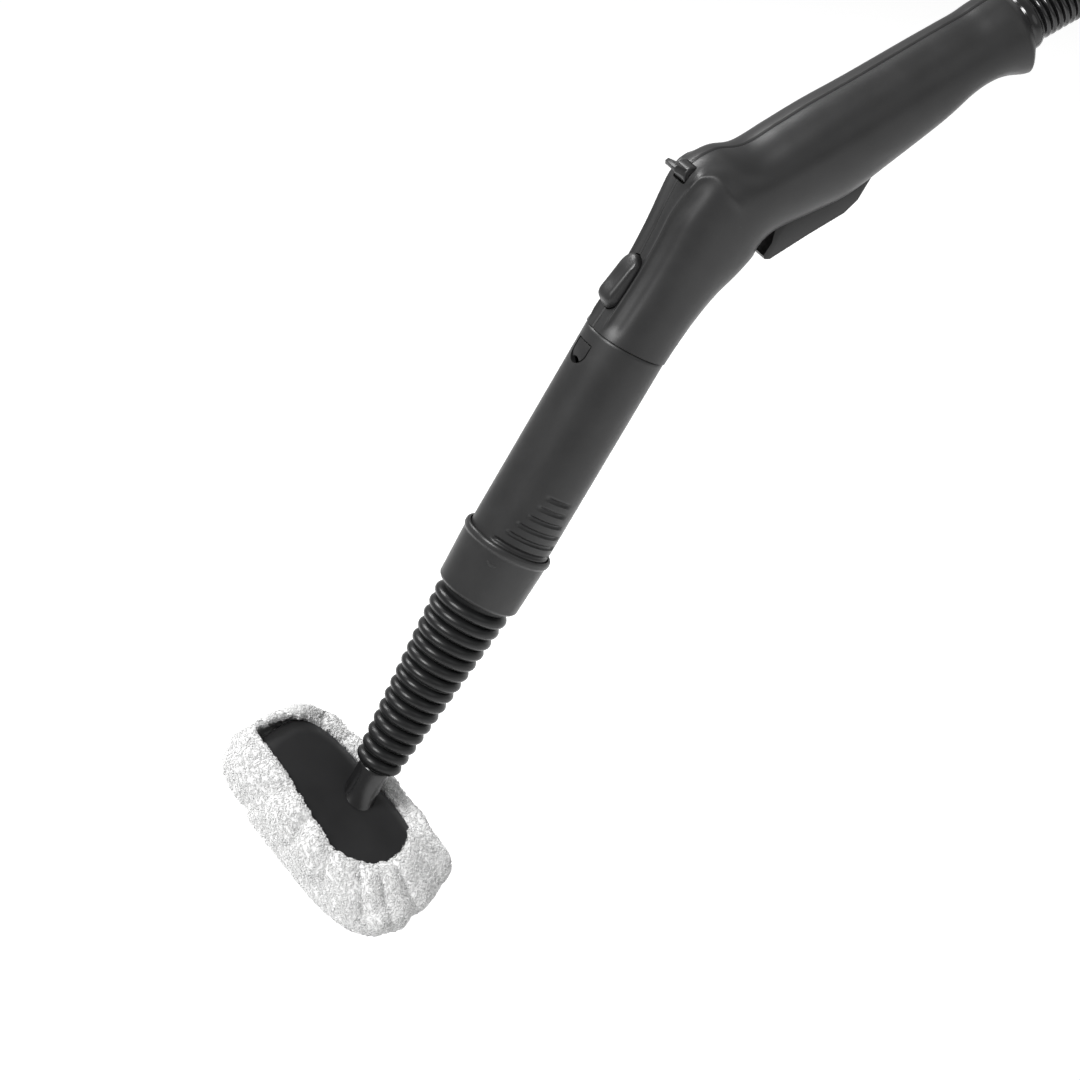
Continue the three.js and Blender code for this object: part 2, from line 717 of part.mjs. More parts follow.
function headHole(radius, [x, y], zLow, zHigh) {
  const rod = new THREE.CylinderGeometry(radius, radius, zHigh - zLow, 10).rotateX(Math.PI / 2);
  return rod.translate(plateMiddle.x + x, plateMiddle.y + y, (zLow + zHigh) / 2);
}

// The hem is cut back round the stem by this rod along the neck's axis.
function stemClearance(toHead) {
  const radius = stemFlare + 1.2;
  const rod = new THREE.CylinderGeometry(radius, radius, 60, 28).rotateX(Math.PI / 2);
  return rod.translate(0, 0, neckEnd).applyMatrix4(toHead);
}

function stemInHead(toHead) {
  const start = neckEnd - gap;
  const outline = [
    [stemBore, start], [stemRadius, start], [stemRadius, start - stemLength * 0.4],
    [stemRadius + 0.5, start - stemLength * 0.62], [stemFlare, start - stemLength * 0.86],
    [stemFlare, start - stemLength * 2], [stemBore, start - stemLength * 2],
  ];
  return turned(outline, 28).applyMatrix4(toHead);
}

function headTopPlate() {
  const body = skinned([
    plateRing(0, plateBottom), plateRing(0, -plateBevel), plateRing(0.9, -plateBevel + 0.9),
    plateRing(shoulderWidth - 2, -0.7), plateRing(shoulderWidth, 0),
  ]);
  const chamber = skinned([headRing(26, 9.5, plateBottom - 5), headRing(26, 9.5, plateBottom + 3)]);
  const steamHole = headHole(stemBore, [stemAlong, stemAcross], plateBottom - 5, 5);
  const pilots = headScrewPlaces.map((place) => headHole(screwRadius + gap, place, plateBottom - 5, -3.4));
  return cut(body, chamber, steamHole, ...pilots);
}

function headGasket() {
  const outer = skinned([plateRing(1.5, gasketTop - gasketHeight), plateRing(1.5, gasketTop)]);
  const inner = skinned([
    headRing(26, 9.5, gasketTop - gasketHeight - 2), headRing(26, 9.5, gasketTop + 2)]);
  const holes = headScrewPlaces.map((place) => headHole(screwRadius + gap, place, -20, 5));
  return cut(outer, inner, ...holes);
}

function headBasePlate() {
  const bottom = baseTop - baseHeight;
  const body = skinned([plateRing(0.8, bottom), plateRing(0, bottom + 0.8), plateRing(0, baseTop)]);
  const holes = headScrewPlaces.map((place) => headHole(screwRadius + gap, place, -30, 5));
  const recesses = headScrewPlaces.map(
    (place) => headHole(screwHeadRadius + gap, place, -30, bottom + 1.6 + gap));
  const steam = [-20, -10, 0, 10, 20].map((x) => headHole(1.5, [x, 0], -30, 5));
  return cut(body, ...holes, ...recesses, ...steam);
}

function headScrew([x, y]) {
  const bottom = baseTop - baseHeight;
  const outline = [
    [0, bottom], [2, bottom], [screwHeadRadius, bottom + 0.6], [screwHeadRadius, bottom + 1.6],
    [screwRadius, bottom + 1.6], [screwRadius, -3.8], [0, -3.8],
  ];
  return turned(outline, 12).translate(plateMiddle.x + x, plateMiddle.y + y, 0);
}

function bristlePad() {
  const sheet = skinned([plateRing(3, padTop - 1.2), plateRing(3, padTop)]);
  const tufts = [];
  for (const x of [-30, -18, -6, 6, 18, 30]) {
    for (const y of [-11, 11]) tufts.push(headHole(1.8, [x, y], padTop - padHeight, padTop - 0.6));
  }
  for (const x of [-25, -15, -5, 5, 15, 25]) {
    tufts.push(headHole(1.8, [x, -4], padTop - padHeight, padTop - 0.6));
    tufts.push(headHole(1.8, [x, 4], padTop - padHeight, padTop - 0.6));
  }
  const holes = [-20, -10, 0, 10, 20].map((x) => headHole(1.2, [x, 0], -40, 5));
  return cut(join(sheet, ...tufts), ...holes);
}

// ---------- Terry bonnet ----------

const hemShift = 1.5;           // the opening sits nearer the plate's far edge
const hemAlong = -1.5;          // and nearer its pointed end
const openingLength = plateLength / 2 - bonnetHem;
const openingWidth = plateWidth / 2 - bonnetHem + 0.7;

// Rings of the loose cloth's inside and outside faces.
function liningRing(inset, z) {
  return headRing(plateLength / 2 + bonnetSlack + 2 * gap - inset,
    plateWidth / 2 + bonnetShift + 2 * gap - inset, z, bonnetShift, bonnetAlong);
}

function clothRing(inset, z) {
  return liningRing(inset - clothThickness, z);
}

const elasticInset = -3 * gap;
const elasticTop = -plateBevel - 1.5;

function bonnet(stemRoom) {
  const outer = skinned([
    clothRing(5, bonnetBottom), clothRing(2, bonnetBottom + 1.2), clothRing(0.4, bonnetBottom + 4),
    clothRing(0, bonnetBottom + 8), clothRing(0, -4), clothRing(1.2, -0.6),
    clothRing(4, hemHeight - 2.6), clothRing(8, hemHeight - 2),
  ]);
  const inside = skinned([
    liningRing(0, bonnetInside), liningRing(0, -plateBevel + gap),
    plateRing(1.2, -plateBevel + 1.6), plateRing(shoulderWidth - 2, 0), plateRing(shoulderWidth, 0.6),
  ]);
  const mouth = skinned([
    headRing(openingLength, openingWidth, -6, hemShift, hemAlong),
    headRing(openingLength, openingWidth, 20, hemShift, hemAlong),
  ]);
  const channel = skinned([
    plateRing(elasticInset - elasticWidth - gap, elasticTop - elasticHeight - gap),
    plateRing(elasticInset - elasticWidth - gap, elasticTop + gap),
  ]);
  return cut(outer, inside, mouth, channel, stemRoom);
}

function bonnetElastic() {
  const low = elasticTop - elasticHeight;
  const outer = [low, elasticTop].map((z) => plateRing(elasticInset - elasticWidth, z));
  const inner = [low - 2, elasticTop + 2].map((z) => plateRing(elasticInset, z));
  return cut(skinned(outer), skinned(inner));
}

// ---------- Hose ----------

// The hose is routed in the row frame. It leaves the butt along the handle, falls under
// its own weight and is wound in two layers, about 1.8 turns, on the floor under the hand.
const surface = -680;
const coilCentre = { x: 68, y: -75 };
const coilRadius = 100;
const tailLength = 68;        // straight hose between the coil and the plug

const hoseRoute = [
  [53.4, 0, 20.5],
  [60, 0, 23.1],
  [72.2, 0, 27.6],
  [87.9, 0, 30.7],
  [108.4, 0, 30],
  [127.7, 0, 24],
  [146.3, 0, 12],
  [160.5, 0, -4.2],
  [170.2, 0, -23.6],
  [174.6, 0, -44.4],
  [175, 0, -70],
  [175, 0, -130],
  [175, 0, -190],
  [175, 0, -250],
  [175, 0, -310],
  [175, 0, -370],
  [175, 0, -430],
  [175, 0, -490],
  [175, 0, -541],
  [175, 0, -566],
  [172.2, 0.7, -587.7],
  [164.1, 2.9, -608],
  [151.2, 6.4, -625.4],
  [134.4, 10.9, -638.7],
  [114.9, 16.1, -647.1],
  [93.9, 21.6, -650],
].map((point) => new THREE.Vector3(...point));

function coilRing(grow) {
  const low = surface - grow;
  const high = surface + 4 * hoseRadius + grow;
  const inner = coilRadius - hoseRadius - grow;
  const outer = coilRadius + hoseRadius + grow;
  const corner = 3;
  const outline = [
    [inner, low + corner], [inner + corner, low], [outer - corner, low], [outer, low + corner],
    [outer, high - corner], [outer - corner, high], [inner + corner, high], [inner, high - corner],
  ];
  return turned(outline, 48).translate(coilCentre.x, coilCentre.y, 0);
}

function hoseTube() {
  const curve = new THREE.CatmullRomCurve3(hoseRoute, false, 'centripetal');
  return cut(rodAlong(curve, hoseRadius, 40, 10), coilRing(gap));
}

// The straight tail runs along +Y from the side of the coil under the hose's fall.
const tailX = coilCentre.x + coilRadius;
const plugStart = coilCentre.y + tailLength;

function hoseTail() {
  const rod = new THREE.CylinderGeometry(hoseRadius, hoseRadius, tailLength - gap, 12);
  rod.translate(tailX, coilCentre.y + (tailLength - gap) / 2, surface + hoseRadius + 1);
  return cut(rod, coilRing(gap));
}

// ---------- Hose plug ----------

// The plug's own frame has +Z along it, from the hose to its end face.
function plugBody() {
  const r = plugRadius;
  const end = plugLength;
  const outline = [
    [4, 0], [hoseRadius + 0.6, 0], [hoseRadius + 1, 6], [r, 12], [r, end - 10],
    [r - 1.4, end - 10], [r - 1.4, end - 8], [r, end - 8], [r, end], [6, end], [6, end - 8], [4, end - 8],
  ];
  const well = block([r - 5.2, -4.6, 19.4], [r + 5, 4.6, 34.6]);
  return cut(turned(outline, 28), well);
}

function plugButton() {
  const r = plugRadius;
  return sideProfile([[r - 2.6, 20], [r + 0.6, 20], [r + 1.6, 22], [r + 1.6, 32], [r + 0.6, 34],
    [r - 2.6, 34]], -4, 4);
}

function plugNipple() {
  const outline = [
    [2.2, plugLength - 7.4], [5.6, plugLength - 7.4], [5.6, plugLength + 4], [4.8, plugLength + 4],
    [4.8, plugLength + 6.4], [5.6, plugLength + 6.4], [5.6, plugLength + 9], [4.6, plugLength + 10],
    [2.2, plugLength + 10],
  ];
  return turned(outline, 20);
}

function plugSeal() {
  return new THREE.TorusGeometry(6.65, 0.9, 6, 20).translate(0, 0, plugLength + 5.2);
}

// ---------- Assembly ----------

const tool = new THREE.Group();
tool.rotation.y = radians(toolLean);
const jointSpot = onHandle(gripDistance, handleDrop).negate();
tool.position.set(jointSpot.x, 0, jointSpot.y).applyEuler(tool.rotation);

tool.add(mesh('handset_shell_left', shellHalf('left'), charcoal));
tool.add(mesh('handset_shell_right', shellHalf('right'), charcoal));
for (const [name, spot] of Object.entries(screwSpots)) tool.add(mesh(name, shellScrew(spot), steel));
tool.add(mesh('release_latch', latchLever(), charcoal));
const latchPin = crossRod(pinRadius, latchPivot.x, latchPivot.z, -latchPinReach, latchPinReach);
tool.add(mesh('release_latch_pin', latchPin, steel));
const latchSpring = coilSpring(2.2, 0.4, 3.4, 2).rotateY(Math.PI / 2);
tool.add(mesh('release_latch_spring', latchSpring.translate(-7.3, 0, 24), steel));
tool.add(mesh('steam_lock_lever', lockLever(), charcoal));
tool.add(mesh('steam_lock_pin', crossRod(pinRadius, lockPivot.x, lockPivot.z, -5.8, 5.8), steel));
tool.add(mesh('trigger', trigger(), charcoal));
const triggerPinSpot = onHandle(triggerPivot.along, triggerPivot.under);
tool.add(mesh('trigger_pin', crossRod(pinRadius, triggerPinSpot.x, triggerPinSpot.y, -10.6, 10.6), steel));
const triggerSpring = coilSpring(3, 0.5, 11.2, 4).rotateY(Math.PI / 2).translate(13.6, 0, 0);
tool.add(mesh('trigger_spring', placeOnHandle(triggerSpring.translate(0, 0, triggerSpringAlong), 0, 0), steel));
tool.add(mesh('steam_microswitch', microswitch(), glossBlack));
tool.add(mesh('switch_plunger', switchPlunger(), bristleGrey));
tool.add(mesh('steam_pipe', steamPipe(), brass));
tool.add(mesh('steam_nozzle', steamNozzle(), brass));
tool.add(mesh('nozzle_seal_front', nozzleSeal(sealHeights[0]), sealRubber));
tool.add(mesh('nozzle_seal_rear', nozzleSeal(sealHeights[1]), sealRubber));
tool.add(mesh('hose_ferrule', hoseFerrule(), glossBlack));
tool.add(mesh('adapter_tube', adapterTube(), charcoal));
tool.add(mesh('twist_collar', collar(), charcoal));
tool.add(mesh('neck_upper', neckLength(neckSplits[0], neckSplits[1]), bellowsRubber));
tool.add(mesh('neck_middle', neckLength(neckSplits[1], neckSplits[2]), bellowsRubber));
tool.add(mesh('neck_lower', neckLength(neckSplits[2], neckSplits[3]), bellowsRubber));

const leaning = new THREE.Group();
leaning.position.z = headHeight;
leaning.rotation.z = radians(headTurn);
const tipped = new THREE.Group();
tipped.rotation.y = radians(headLean);
const head = new THREE.Group();
head.rotation.z = radians(headTwist);
tool.add(leaning);
leaning.add(tipped);
tipped.add(head);
tool.updateMatrixWorld(true);
const toHead = head.matrixWorld.clone().invert().multiply(tool.matrixWorld);

const plateTopCut = block([-60, -60, -80], [60, 60, gap]);
const stem = cut(stemInHead(toHead), plateTopCut);
head.add(mesh('head_stem', stem, glossBlack));
head.add(mesh('head_top_plate', headTopPlate(), charcoal));
head.add(mesh('head_gasket', headGasket(), sealRubber));
head.add(mesh('head_base_plate', headBasePlate(), charcoal));
headScrewPlaces.forEach((place, i) => head.add(mesh(`head_screw_${i + 1}`, headScrew(place), steel)));
head.add(mesh('bristle_pad', bristlePad(), bristleGrey));
head.add(mesh('terry_bonnet', bonnet(stemClearance(toHead)), terry));
head.add(mesh('bonnet_elastic', bonnetElastic(), elasticWhite));

const object = new THREE.Group();
object.add(tool);
object.add(mesh('hose_tube', hoseTube(), glossBlack));
object.add(mesh('hose_coil', coilRing(0), glossBlack));
object.add(mesh('hose_tail', hoseTail(), glossBlack));

const plug = new THREE.Group();
plug.rotation.x = -Math.PI / 2;
plug.position.set(tailX, plugStart, surface + plugRadius);
const plugTurn = new THREE.Group();
plugTurn.rotation.z = -Math.PI / 2;
plug.add(plugTurn);
plugTurn.add(mesh('hose_plug', plugBody(), charcoal));
plugTurn.add(mesh('plug_button', plugButton(), bristleGrey));
plugTurn.add(mesh('plug_nipple', plugNipple(), brass));
plugTurn.add(mesh('plug_seal', plugSeal(), sealRubber));
object.add(plug);

export default object;
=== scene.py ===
import math

import bmesh
import bpy
import numpy as np
from mathutils import Matrix, Vector


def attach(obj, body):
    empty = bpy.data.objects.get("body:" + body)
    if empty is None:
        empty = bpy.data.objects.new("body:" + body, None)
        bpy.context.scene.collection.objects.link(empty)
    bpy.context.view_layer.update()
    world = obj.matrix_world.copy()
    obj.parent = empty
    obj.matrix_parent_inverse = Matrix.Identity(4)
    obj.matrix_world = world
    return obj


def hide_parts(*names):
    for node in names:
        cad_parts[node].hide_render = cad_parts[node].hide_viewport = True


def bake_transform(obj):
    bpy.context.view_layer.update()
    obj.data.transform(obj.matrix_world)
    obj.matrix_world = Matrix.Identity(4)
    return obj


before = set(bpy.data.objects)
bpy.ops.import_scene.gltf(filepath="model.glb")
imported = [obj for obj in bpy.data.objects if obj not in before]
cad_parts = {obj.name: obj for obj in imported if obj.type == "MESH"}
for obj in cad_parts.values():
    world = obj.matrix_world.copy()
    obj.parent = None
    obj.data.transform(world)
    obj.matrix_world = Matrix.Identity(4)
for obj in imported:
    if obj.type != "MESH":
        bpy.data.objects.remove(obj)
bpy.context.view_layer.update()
print("frame loaded:", len(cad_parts), "nodes")

mm = 0.001

# The tool's own frame: +Z up the tube's axis from the joint, +X the underside, in millimetres.
tool = dict(lean=32.5, kink=36.5, noseLength=65, bendRise=4.2, gripDistance=95, handleDrop=4)


def turnY(degrees):
    return Matrix.Rotation(math.radians(degrees), 4, "Y")


def turnZ(degrees):
    return Matrix.Rotation(math.radians(degrees), 4, "Z")


def shift(x, y, z):
    return Matrix.Translation((x, y, z))


# The handle's frame: +Z along the handle from the bend, +X its underside.
handleInTool = shift(-tool["bendRise"], 0, tool["noseLength"]) @ turnY(tool["kink"])
gripInTool = handleInTool @ Vector((tool["handleDrop"], 0, tool["gripDistance"]))
toolFrame = Matrix.Scale(mm, 4) @ turnY(tool["lean"]) @ Matrix.Translation(-gripInTool)
handleFrame = toolFrame @ handleInTool

# The head's frame: +Z out of the plate to the neck, +X along the plate.
head = dict(height=-221.6, lean=29.2, turn=-106.4, twist=55.6, middle=(-1, -12), plate=(84, 50),
            plateHeight=9, bevel=4, shoulder=7)
headFrame = (toolFrame @ shift(0, 0, head["height"]) @ turnZ(head["turn"]) @ turnY(head["lean"])
             @ turnZ(head["twist"]))


def place(points, matrix):
    # every point carried from its own frame into the row's metres: rotation and scale, then the shift
    m = np.array(matrix)
    return points @ m[:3, :3].T + m[:3, 3]


def smoothStep(x, low, high):
    # 0 below low, 1 above high, and 3t^2 - 2t^3 between
    t = np.clip((x - low) / (high - low), 0, 1)
    return t * t * (3 - 2 * t)


def waves(points, wavelength, seed, count=14):
    # soft noise from -1 to 1: a sum of plane waves in random directions, about one wavelength long
    rng = np.random.default_rng(seed)
    direction = rng.normal(size=(count, 3))
    direction /= np.linalg.norm(direction, axis=1)[:, None]
    stretch = rng.uniform(0.7, 1.5, count) * 2 * math.pi / wavelength
    phase = rng.uniform(0, 2 * math.pi, count)
    return np.sin(points @ (direction * stretch[:, None]).T + phase).sum(1) / math.sqrt(count) / 1.5


def buildMesh(name, points, faces, material=None):
    # faces is one array of quads or triangles; a quad with two equal corners is welded later
    mesh = bpy.data.meshes.new(name)
    size = faces.shape[1]
    mesh.vertices.add(len(points))
    mesh.vertices.foreach_set("co", np.ascontiguousarray(points, np.float32).ravel())
    mesh.loops.add(faces.size)
    mesh.loops.foreach_set("vertex_index", faces.astype(np.int32).ravel())
    mesh.polygons.add(len(faces))
    mesh.polygons.foreach_set("loop_start", np.arange(0, faces.size, size, dtype=np.int32))
    mesh.polygons.foreach_set("use_smooth", np.ones(len(faces), bool))
    mesh.update(calc_edges=True)
    piece = bpy.data.objects.new(name, mesh)
    bpy.context.scene.collection.objects.link(piece)
    if material:
        mesh.materials.append(material)
    return piece


def gridFaces(rows, columns, wrapRows=False, wrapColumns=False):
    # quads between neighbouring rows and columns of a grid of points
    r = np.arange(rows if wrapRows else rows - 1)
    c = np.arange(columns if wrapColumns else columns - 1)
    r, c = (a.ravel() for a in np.meshgrid(r, c, indexing="ij"))
    nextRow, nextColumn = (r + 1) % rows, (c + 1) % columns
    return np.stack([r * columns + c, r * columns + nextColumn,
                     nextRow * columns + nextColumn, nextRow * columns + c], 1)


def outward(piece, weld=1e-6):
    # poles closed, doubles merged and faces turned outwards
    work = bmesh.new()
    work.from_mesh(piece.data)
    bmesh.ops.remove_doubles(work, verts=work.verts, dist=weld)
    bmesh.ops.recalc_face_normals(work, faces=work.faces)
    work.to_mesh(piece.data)
    work.free()
    return piece


def crisp(piece, degrees=35):
    piece.data.shade_smooth()
    piece.data.set_sharp_from_angle(angle=math.radians(degrees))
    return piece


def rounded(corners, radius, steps=4):
    # an outline with each corner cut back by radius and joined by a quadratic curve
    corners = np.array(corners, float)
    made = []
    for i, corner in enumerate(corners):
        before, after = corners[i - 1] - corner, corners[(i + 1) % len(corners)] - corner
        reach = [min(radius, 0.45 * np.linalg.norm(side)) for side in (before, after)]
        start = corner + before / np.linalg.norm(before) * reach[0]
        end = corner + after / np.linalg.norm(after) * reach[1]
        for t in np.linspace(0, 1, steps):
            made.append((1 - t) ** 2 * start + 2 * t * (1 - t) * corner + t * t * end)
    return np.array(made)


def finer(outline, step):
    # a closed outline with its long sides cut into steps
    made = []
    for a, b in zip(outline, np.roll(outline, -1, axis=0)):
        count = max(1, math.ceil(np.linalg.norm(b - a) / step))
        made += [a + (b - a) * k / count for k in range(count)]
    return np.array(made)


def lathe(name, outline, matrix, material, turns=72, change=None):
    # an outline of (radius, height) carried round the frame's Z axis; change may move the points
    outline = np.array(outline, float)
    angle = np.linspace(0, 2 * math.pi, turns, endpoint=False)
    radius, height = outline[:, :1], outline[:, 1:]
    grid = np.stack([radius * np.cos(angle), radius * np.sin(angle), height + 0 * angle], -1)
    if change:
        grid = change(grid, angle)
    closed = outline[0, 0] > 0
    faces = gridFaces(len(outline), turns, closed, True)
    piece = buildMesh(name, place(grid.reshape(-1, 3), matrix), faces, material)
    return crisp(outward(piece))


def prism(name, outline, low, high, matrix, normal="y", material=None, taper=0.0):
    # a flat outline pushed from low to high along the frame's axis called normal
    outline = np.array(outline, float)
    count = len(outline)
    middle = outline.mean(0)
    layers = []
    for depth, share in ((low, 1), (high, 1 - taper)):
        a, b = (middle + (outline - middle) * share).T
        d = np.full(count, depth)
        layers.append(np.stack({"x": [d, a, b], "y": [a, d, b], "z": [a, b, d]}[normal], 1))
    points = place(np.concatenate(layers), matrix)
    mesh = bpy.data.meshes.new(name)
    faces = [list(range(count)), list(range(count, 2 * count))]
    faces += [[i, (i + 1) % count, count + (i + 1) % count, count + i] for i in range(count)]
    mesh.from_pydata(points.tolist(), [], faces)
    piece = bpy.data.objects.new(name, mesh)
    bpy.context.scene.collection.objects.link(piece)
    if material:
        mesh.materials.append(material)
    return outward(piece)


def settle(piece):
    # modifiers made into mesh
    bpy.context.view_layer.update()
    mesh = bpy.data.meshes.new_from_object(piece.evaluated_get(bpy.context.evaluated_depsgraph_get()))
    piece.modifiers.clear()
    piece.data = mesh
    return piece


def carve(piece, cutters):
    for cutter in cutters:
        step = piece.modifiers.new("cut", "BOOLEAN")
        step.operation = "DIFFERENCE"
        step.solver = "EXACT"
        step.object = cutter
    settle(piece)
    for cutter in cutters:
        bpy.data.objects.remove(cutter)
    return crisp(piece)


def soften(piece, width, segments=3, degrees=32):
    edge = piece.modifiers.new("soft edges", "BEVEL")
    edge.width = width * mm
    edge.segments = segments
    edge.limit_method = "ANGLE"
    edge.angle_limit = math.radians(degrees)
    edge.use_clamp_overlap = True
    return piece


def fromCad(node, width, material, slotName, body):
    # a CAD node's shape with its loose triangles merged, flat faces joined and edges rounded
    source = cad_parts[node]
    piece = bpy.data.objects.new(node + "_piece", source.data.copy())
    bpy.context.scene.collection.objects.link(piece)
    work = bmesh.new()
    work.from_mesh(piece.data)
    bmesh.ops.remove_doubles(work, verts=work.verts, dist=2e-6)
    bmesh.ops.dissolve_limit(work, angle_limit=math.radians(1.5), verts=work.verts, edges=work.edges)
    work.to_mesh(piece.data)
    work.free()
    piece.data.materials.clear()
    piece.data.materials.append(material)
    if width:
        settle(soften(piece, width, 2))
    crisp(piece, 30)
    return show(piece, body, slotName, node)


def show(piece, body, slotName, *nodes):
    if body:
        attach(piece, body)
    if nodes:
        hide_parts(*nodes)
    return piece


# Camera

camera = dict(place=(-0.5188, -0.8279, 0.3845), right=(0.917, -0.399, 0), up=(0.21, 0.48, 0.852), view=23.5)


def addCamera():
    lens = bpy.data.cameras.new("camera")
    lens.sensor_width = 36
    lens.angle = math.radians(camera["view"])
    lens.clip_start = 0.05
    holder = bpy.data.objects.new("camera", lens)
    right = Vector(camera["right"]).normalized()
    up = Vector(camera["up"])
    up = (up - up.dot(right) * right).normalized()
    turn = Matrix((right, up, right.cross(up))).transposed().to_4x4()
    holder.matrix_world = Matrix.Translation(camera["place"]) @ turn
    bpy.context.scene.collection.objects.link(holder)
    bpy.context.scene.camera = holder


addCamera()
print("camera placed")


# Shader groups: each takes named values and puts out masks, heights or colours

class Net:
    # short names for adding nodes and links to one node tree
    def __init__(self, tree):
        self.tree = tree

    def add(self, kind, **values):
        node = self.tree.nodes.new(kind)
        for name, value in values.items():
            if name in node.inputs:
                node.inputs[name].default_value = value
            else:
                setattr(node, name, value)
        return node

    def link(self, a, b):
        self.tree.links.new(a, b)


def newGroup(name, inputs, outputs):
    tree = bpy.data.node_groups.new(name, "ShaderNodeTree")
    for label, kind, value in inputs:
        socket = tree.interface.new_socket(name=label, in_out="INPUT", socket_type=kind)
        if value is not None:
            socket.default_value = value
    for label, kind in outputs:
        tree.interface.new_socket(name=label, in_out="OUTPUT", socket_type=kind)
    net = Net(tree)
    return tree, net, net.add("NodeGroupInput"), net.add("NodeGroupOutput")


def spread(net, value, low, high, outLow, outHigh):
    node = net.add("ShaderNodeMapRange", clamp=True)
    for i, number in enumerate((low, high, outLow, outHigh)):
        node.inputs[i + 1].default_value = number
    net.link(value, node.inputs[0])
    return node.outputs[0]


def sum2(net, a, b, operation="ADD"):
    node = net.add("ShaderNodeMath", operation=operation)
    for i, item in enumerate((a, b)):
        if isinstance(item, (int, float)):
            node.inputs[i].default_value = item
        else:
            net.link(item, node.inputs[i])
    return node.outputs[0]


def mouldedGrain():
    # fine spark-eroded grain with a slow mottling under it
    tree, net, inside, out = newGroup(
        "mouldedGrain",
        [("Vector", "NodeSocketVector", None), ("Grain Scale", "NodeSocketFloat", 2600.0),
         ("Mottle Scale", "NodeSocketFloat", 60.0)],
        [("Height", "NodeSocketFloat"), ("Mottle", "NodeSocketFloat")])
    fine = net.add("ShaderNodeTexNoise", Detail=2.0, Roughness=0.6)
    cells = net.add("ShaderNodeTexVoronoi", feature="SMOOTH_F1")
    slow = net.add("ShaderNodeTexNoise", Detail=4.0, Roughness=0.55)
    for node, scale in ((fine, "Grain Scale"), (cells, "Grain Scale"), (slow, "Mottle Scale")):
        net.link(inside.outputs["Vector"], node.inputs["Vector"])
        net.link(inside.outputs[scale], node.inputs["Scale"])
    half = sum2(net, cells.outputs["Distance"], 0.6, "MULTIPLY")
    net.link(sum2(net, fine.outputs[0], half), out.inputs["Height"])
    net.link(slow.outputs[0], out.inputs["Mottle"])
    return tree


def handlingWear():
    # faint smears and short hair scratches where a tool is rubbed and gripped
    tree, net, inside, out = newGroup(
        "handlingWear",
        [("Vector", "NodeSocketVector", None), ("Scratch Scale", "NodeSocketFloat", 90.0)],
        [("Smear", "NodeSocketFloat"), ("Scratch", "NodeSocketFloat")])
    smear = net.add("ShaderNodeTexNoise", Scale=28.0, Detail=5.0, Roughness=0.62, Distortion=0.8)
    net.link(inside.outputs["Vector"], smear.inputs["Vector"])
    turned = net.add("ShaderNodeMapping")
    turned.inputs["Rotation"].default_value = (0.4, 0.9, 0.3)
    turned.inputs["Scale"].default_value = (1, 9, 1)
    net.link(inside.outputs["Vector"], turned.inputs["Vector"])
    hair = net.add("ShaderNodeTexNoise", Detail=3.0, Roughness=0.7)
    net.link(turned.outputs[0], hair.inputs["Vector"])
    net.link(inside.outputs["Scratch Scale"], hair.inputs["Scale"])
    net.link(spread(net, smear.outputs[0], 0.42, 0.7, 0, 1), out.inputs["Smear"])
    net.link(spread(net, hair.outputs[0], 0.69, 0.75, 0, 1), out.inputs["Scratch"])
    return tree


def loopPile():
    # knobbly loops of yarn, with a mask for the painted shade in the gaps between them
    tree, net, inside, out = newGroup(
        "loopPile",
        [("Vector", "NodeSocketVector", None), ("Loop Scale", "NodeSocketFloat", 900.0)],
        [("Height", "NodeSocketFloat"), ("Gap Shade", "NodeSocketFloat"), ("Tone", "NodeSocketFloat")])
    bent = net.add("ShaderNodeTexNoise", Scale=700.0, Detail=2.0)
    net.link(inside.outputs["Vector"], bent.inputs["Vector"])
    away = net.add("ShaderNodeVectorMath", operation="MULTIPLY_ADD")
    away.inputs[1].default_value = (0.0012, 0.0012, 0.0012)
    net.link(bent.outputs["Color"], away.inputs[0])
    net.link(inside.outputs["Vector"], away.inputs[2])
    cells = net.add("ShaderNodeTexVoronoi", feature="SMOOTH_F1")
    net.link(away.outputs[0], cells.inputs["Vector"])
    net.link(inside.outputs["Loop Scale"], cells.inputs["Scale"])
    tone = net.add("ShaderNodeTexNoise", Scale=45.0, Detail=3.0)
    net.link(inside.outputs["Vector"], tone.inputs["Vector"])
    net.link(sum2(net, 1.0, cells.outputs["Distance"], "SUBTRACT"), out.inputs["Height"])
    # this mask carries painted shade between the loops
    net.link(spread(net, cells.outputs["Distance"], 0.35, 0.75, 0, 1), out.inputs["Gap Shade"])
    net.link(tone.outputs[0], out.inputs["Tone"])
    return tree


groups = dict(grain=mouldedGrain(), wear=handlingWear(), pile=loopPile())


def newMaterial(name):
    made = bpy.data.materials.new(name)
    made.use_nodes = True
    net = Net(made.node_tree)
    surface = made.node_tree.nodes["Principled BSDF"]
    where = net.add("ShaderNodeTexCoord").outputs["Object"]
    return made, net, surface, where


def useGroup(net, tree, where, **values):
    node = net.add("ShaderNodeGroup")
    node.node_tree = tree
    net.link(where, node.inputs["Vector"])
    for name, value in values.items():
        node.inputs[name].default_value = value
    return node


def mixColour(net, share, a, b, blend="MIX"):
    node = net.add("ShaderNodeMix", data_type="RGBA", blend_type=blend)
    node.inputs[6].default_value = (*a, 1) if isinstance(a, tuple) else (1, 1, 1, 1)
    node.inputs[7].default_value = (*b, 1) if isinstance(b, tuple) else (1, 1, 1, 1)
    for item, socket in ((share, 0), (a, 6), (b, 7)):
        if not isinstance(item, (tuple, float, int)):
            net.link(item, node.inputs[socket])
    if isinstance(share, (float, int)):
        node.inputs[0].default_value = share
    return node.outputs[2]


def bumpFrom(net, height, surface, depth, strength=1.0):
    bump = net.add("ShaderNodeBump", Strength=strength, Distance=depth * mm)
    net.link(height, bump.inputs["Height"])
    net.link(bump.outputs[0], surface.inputs["Normal"])


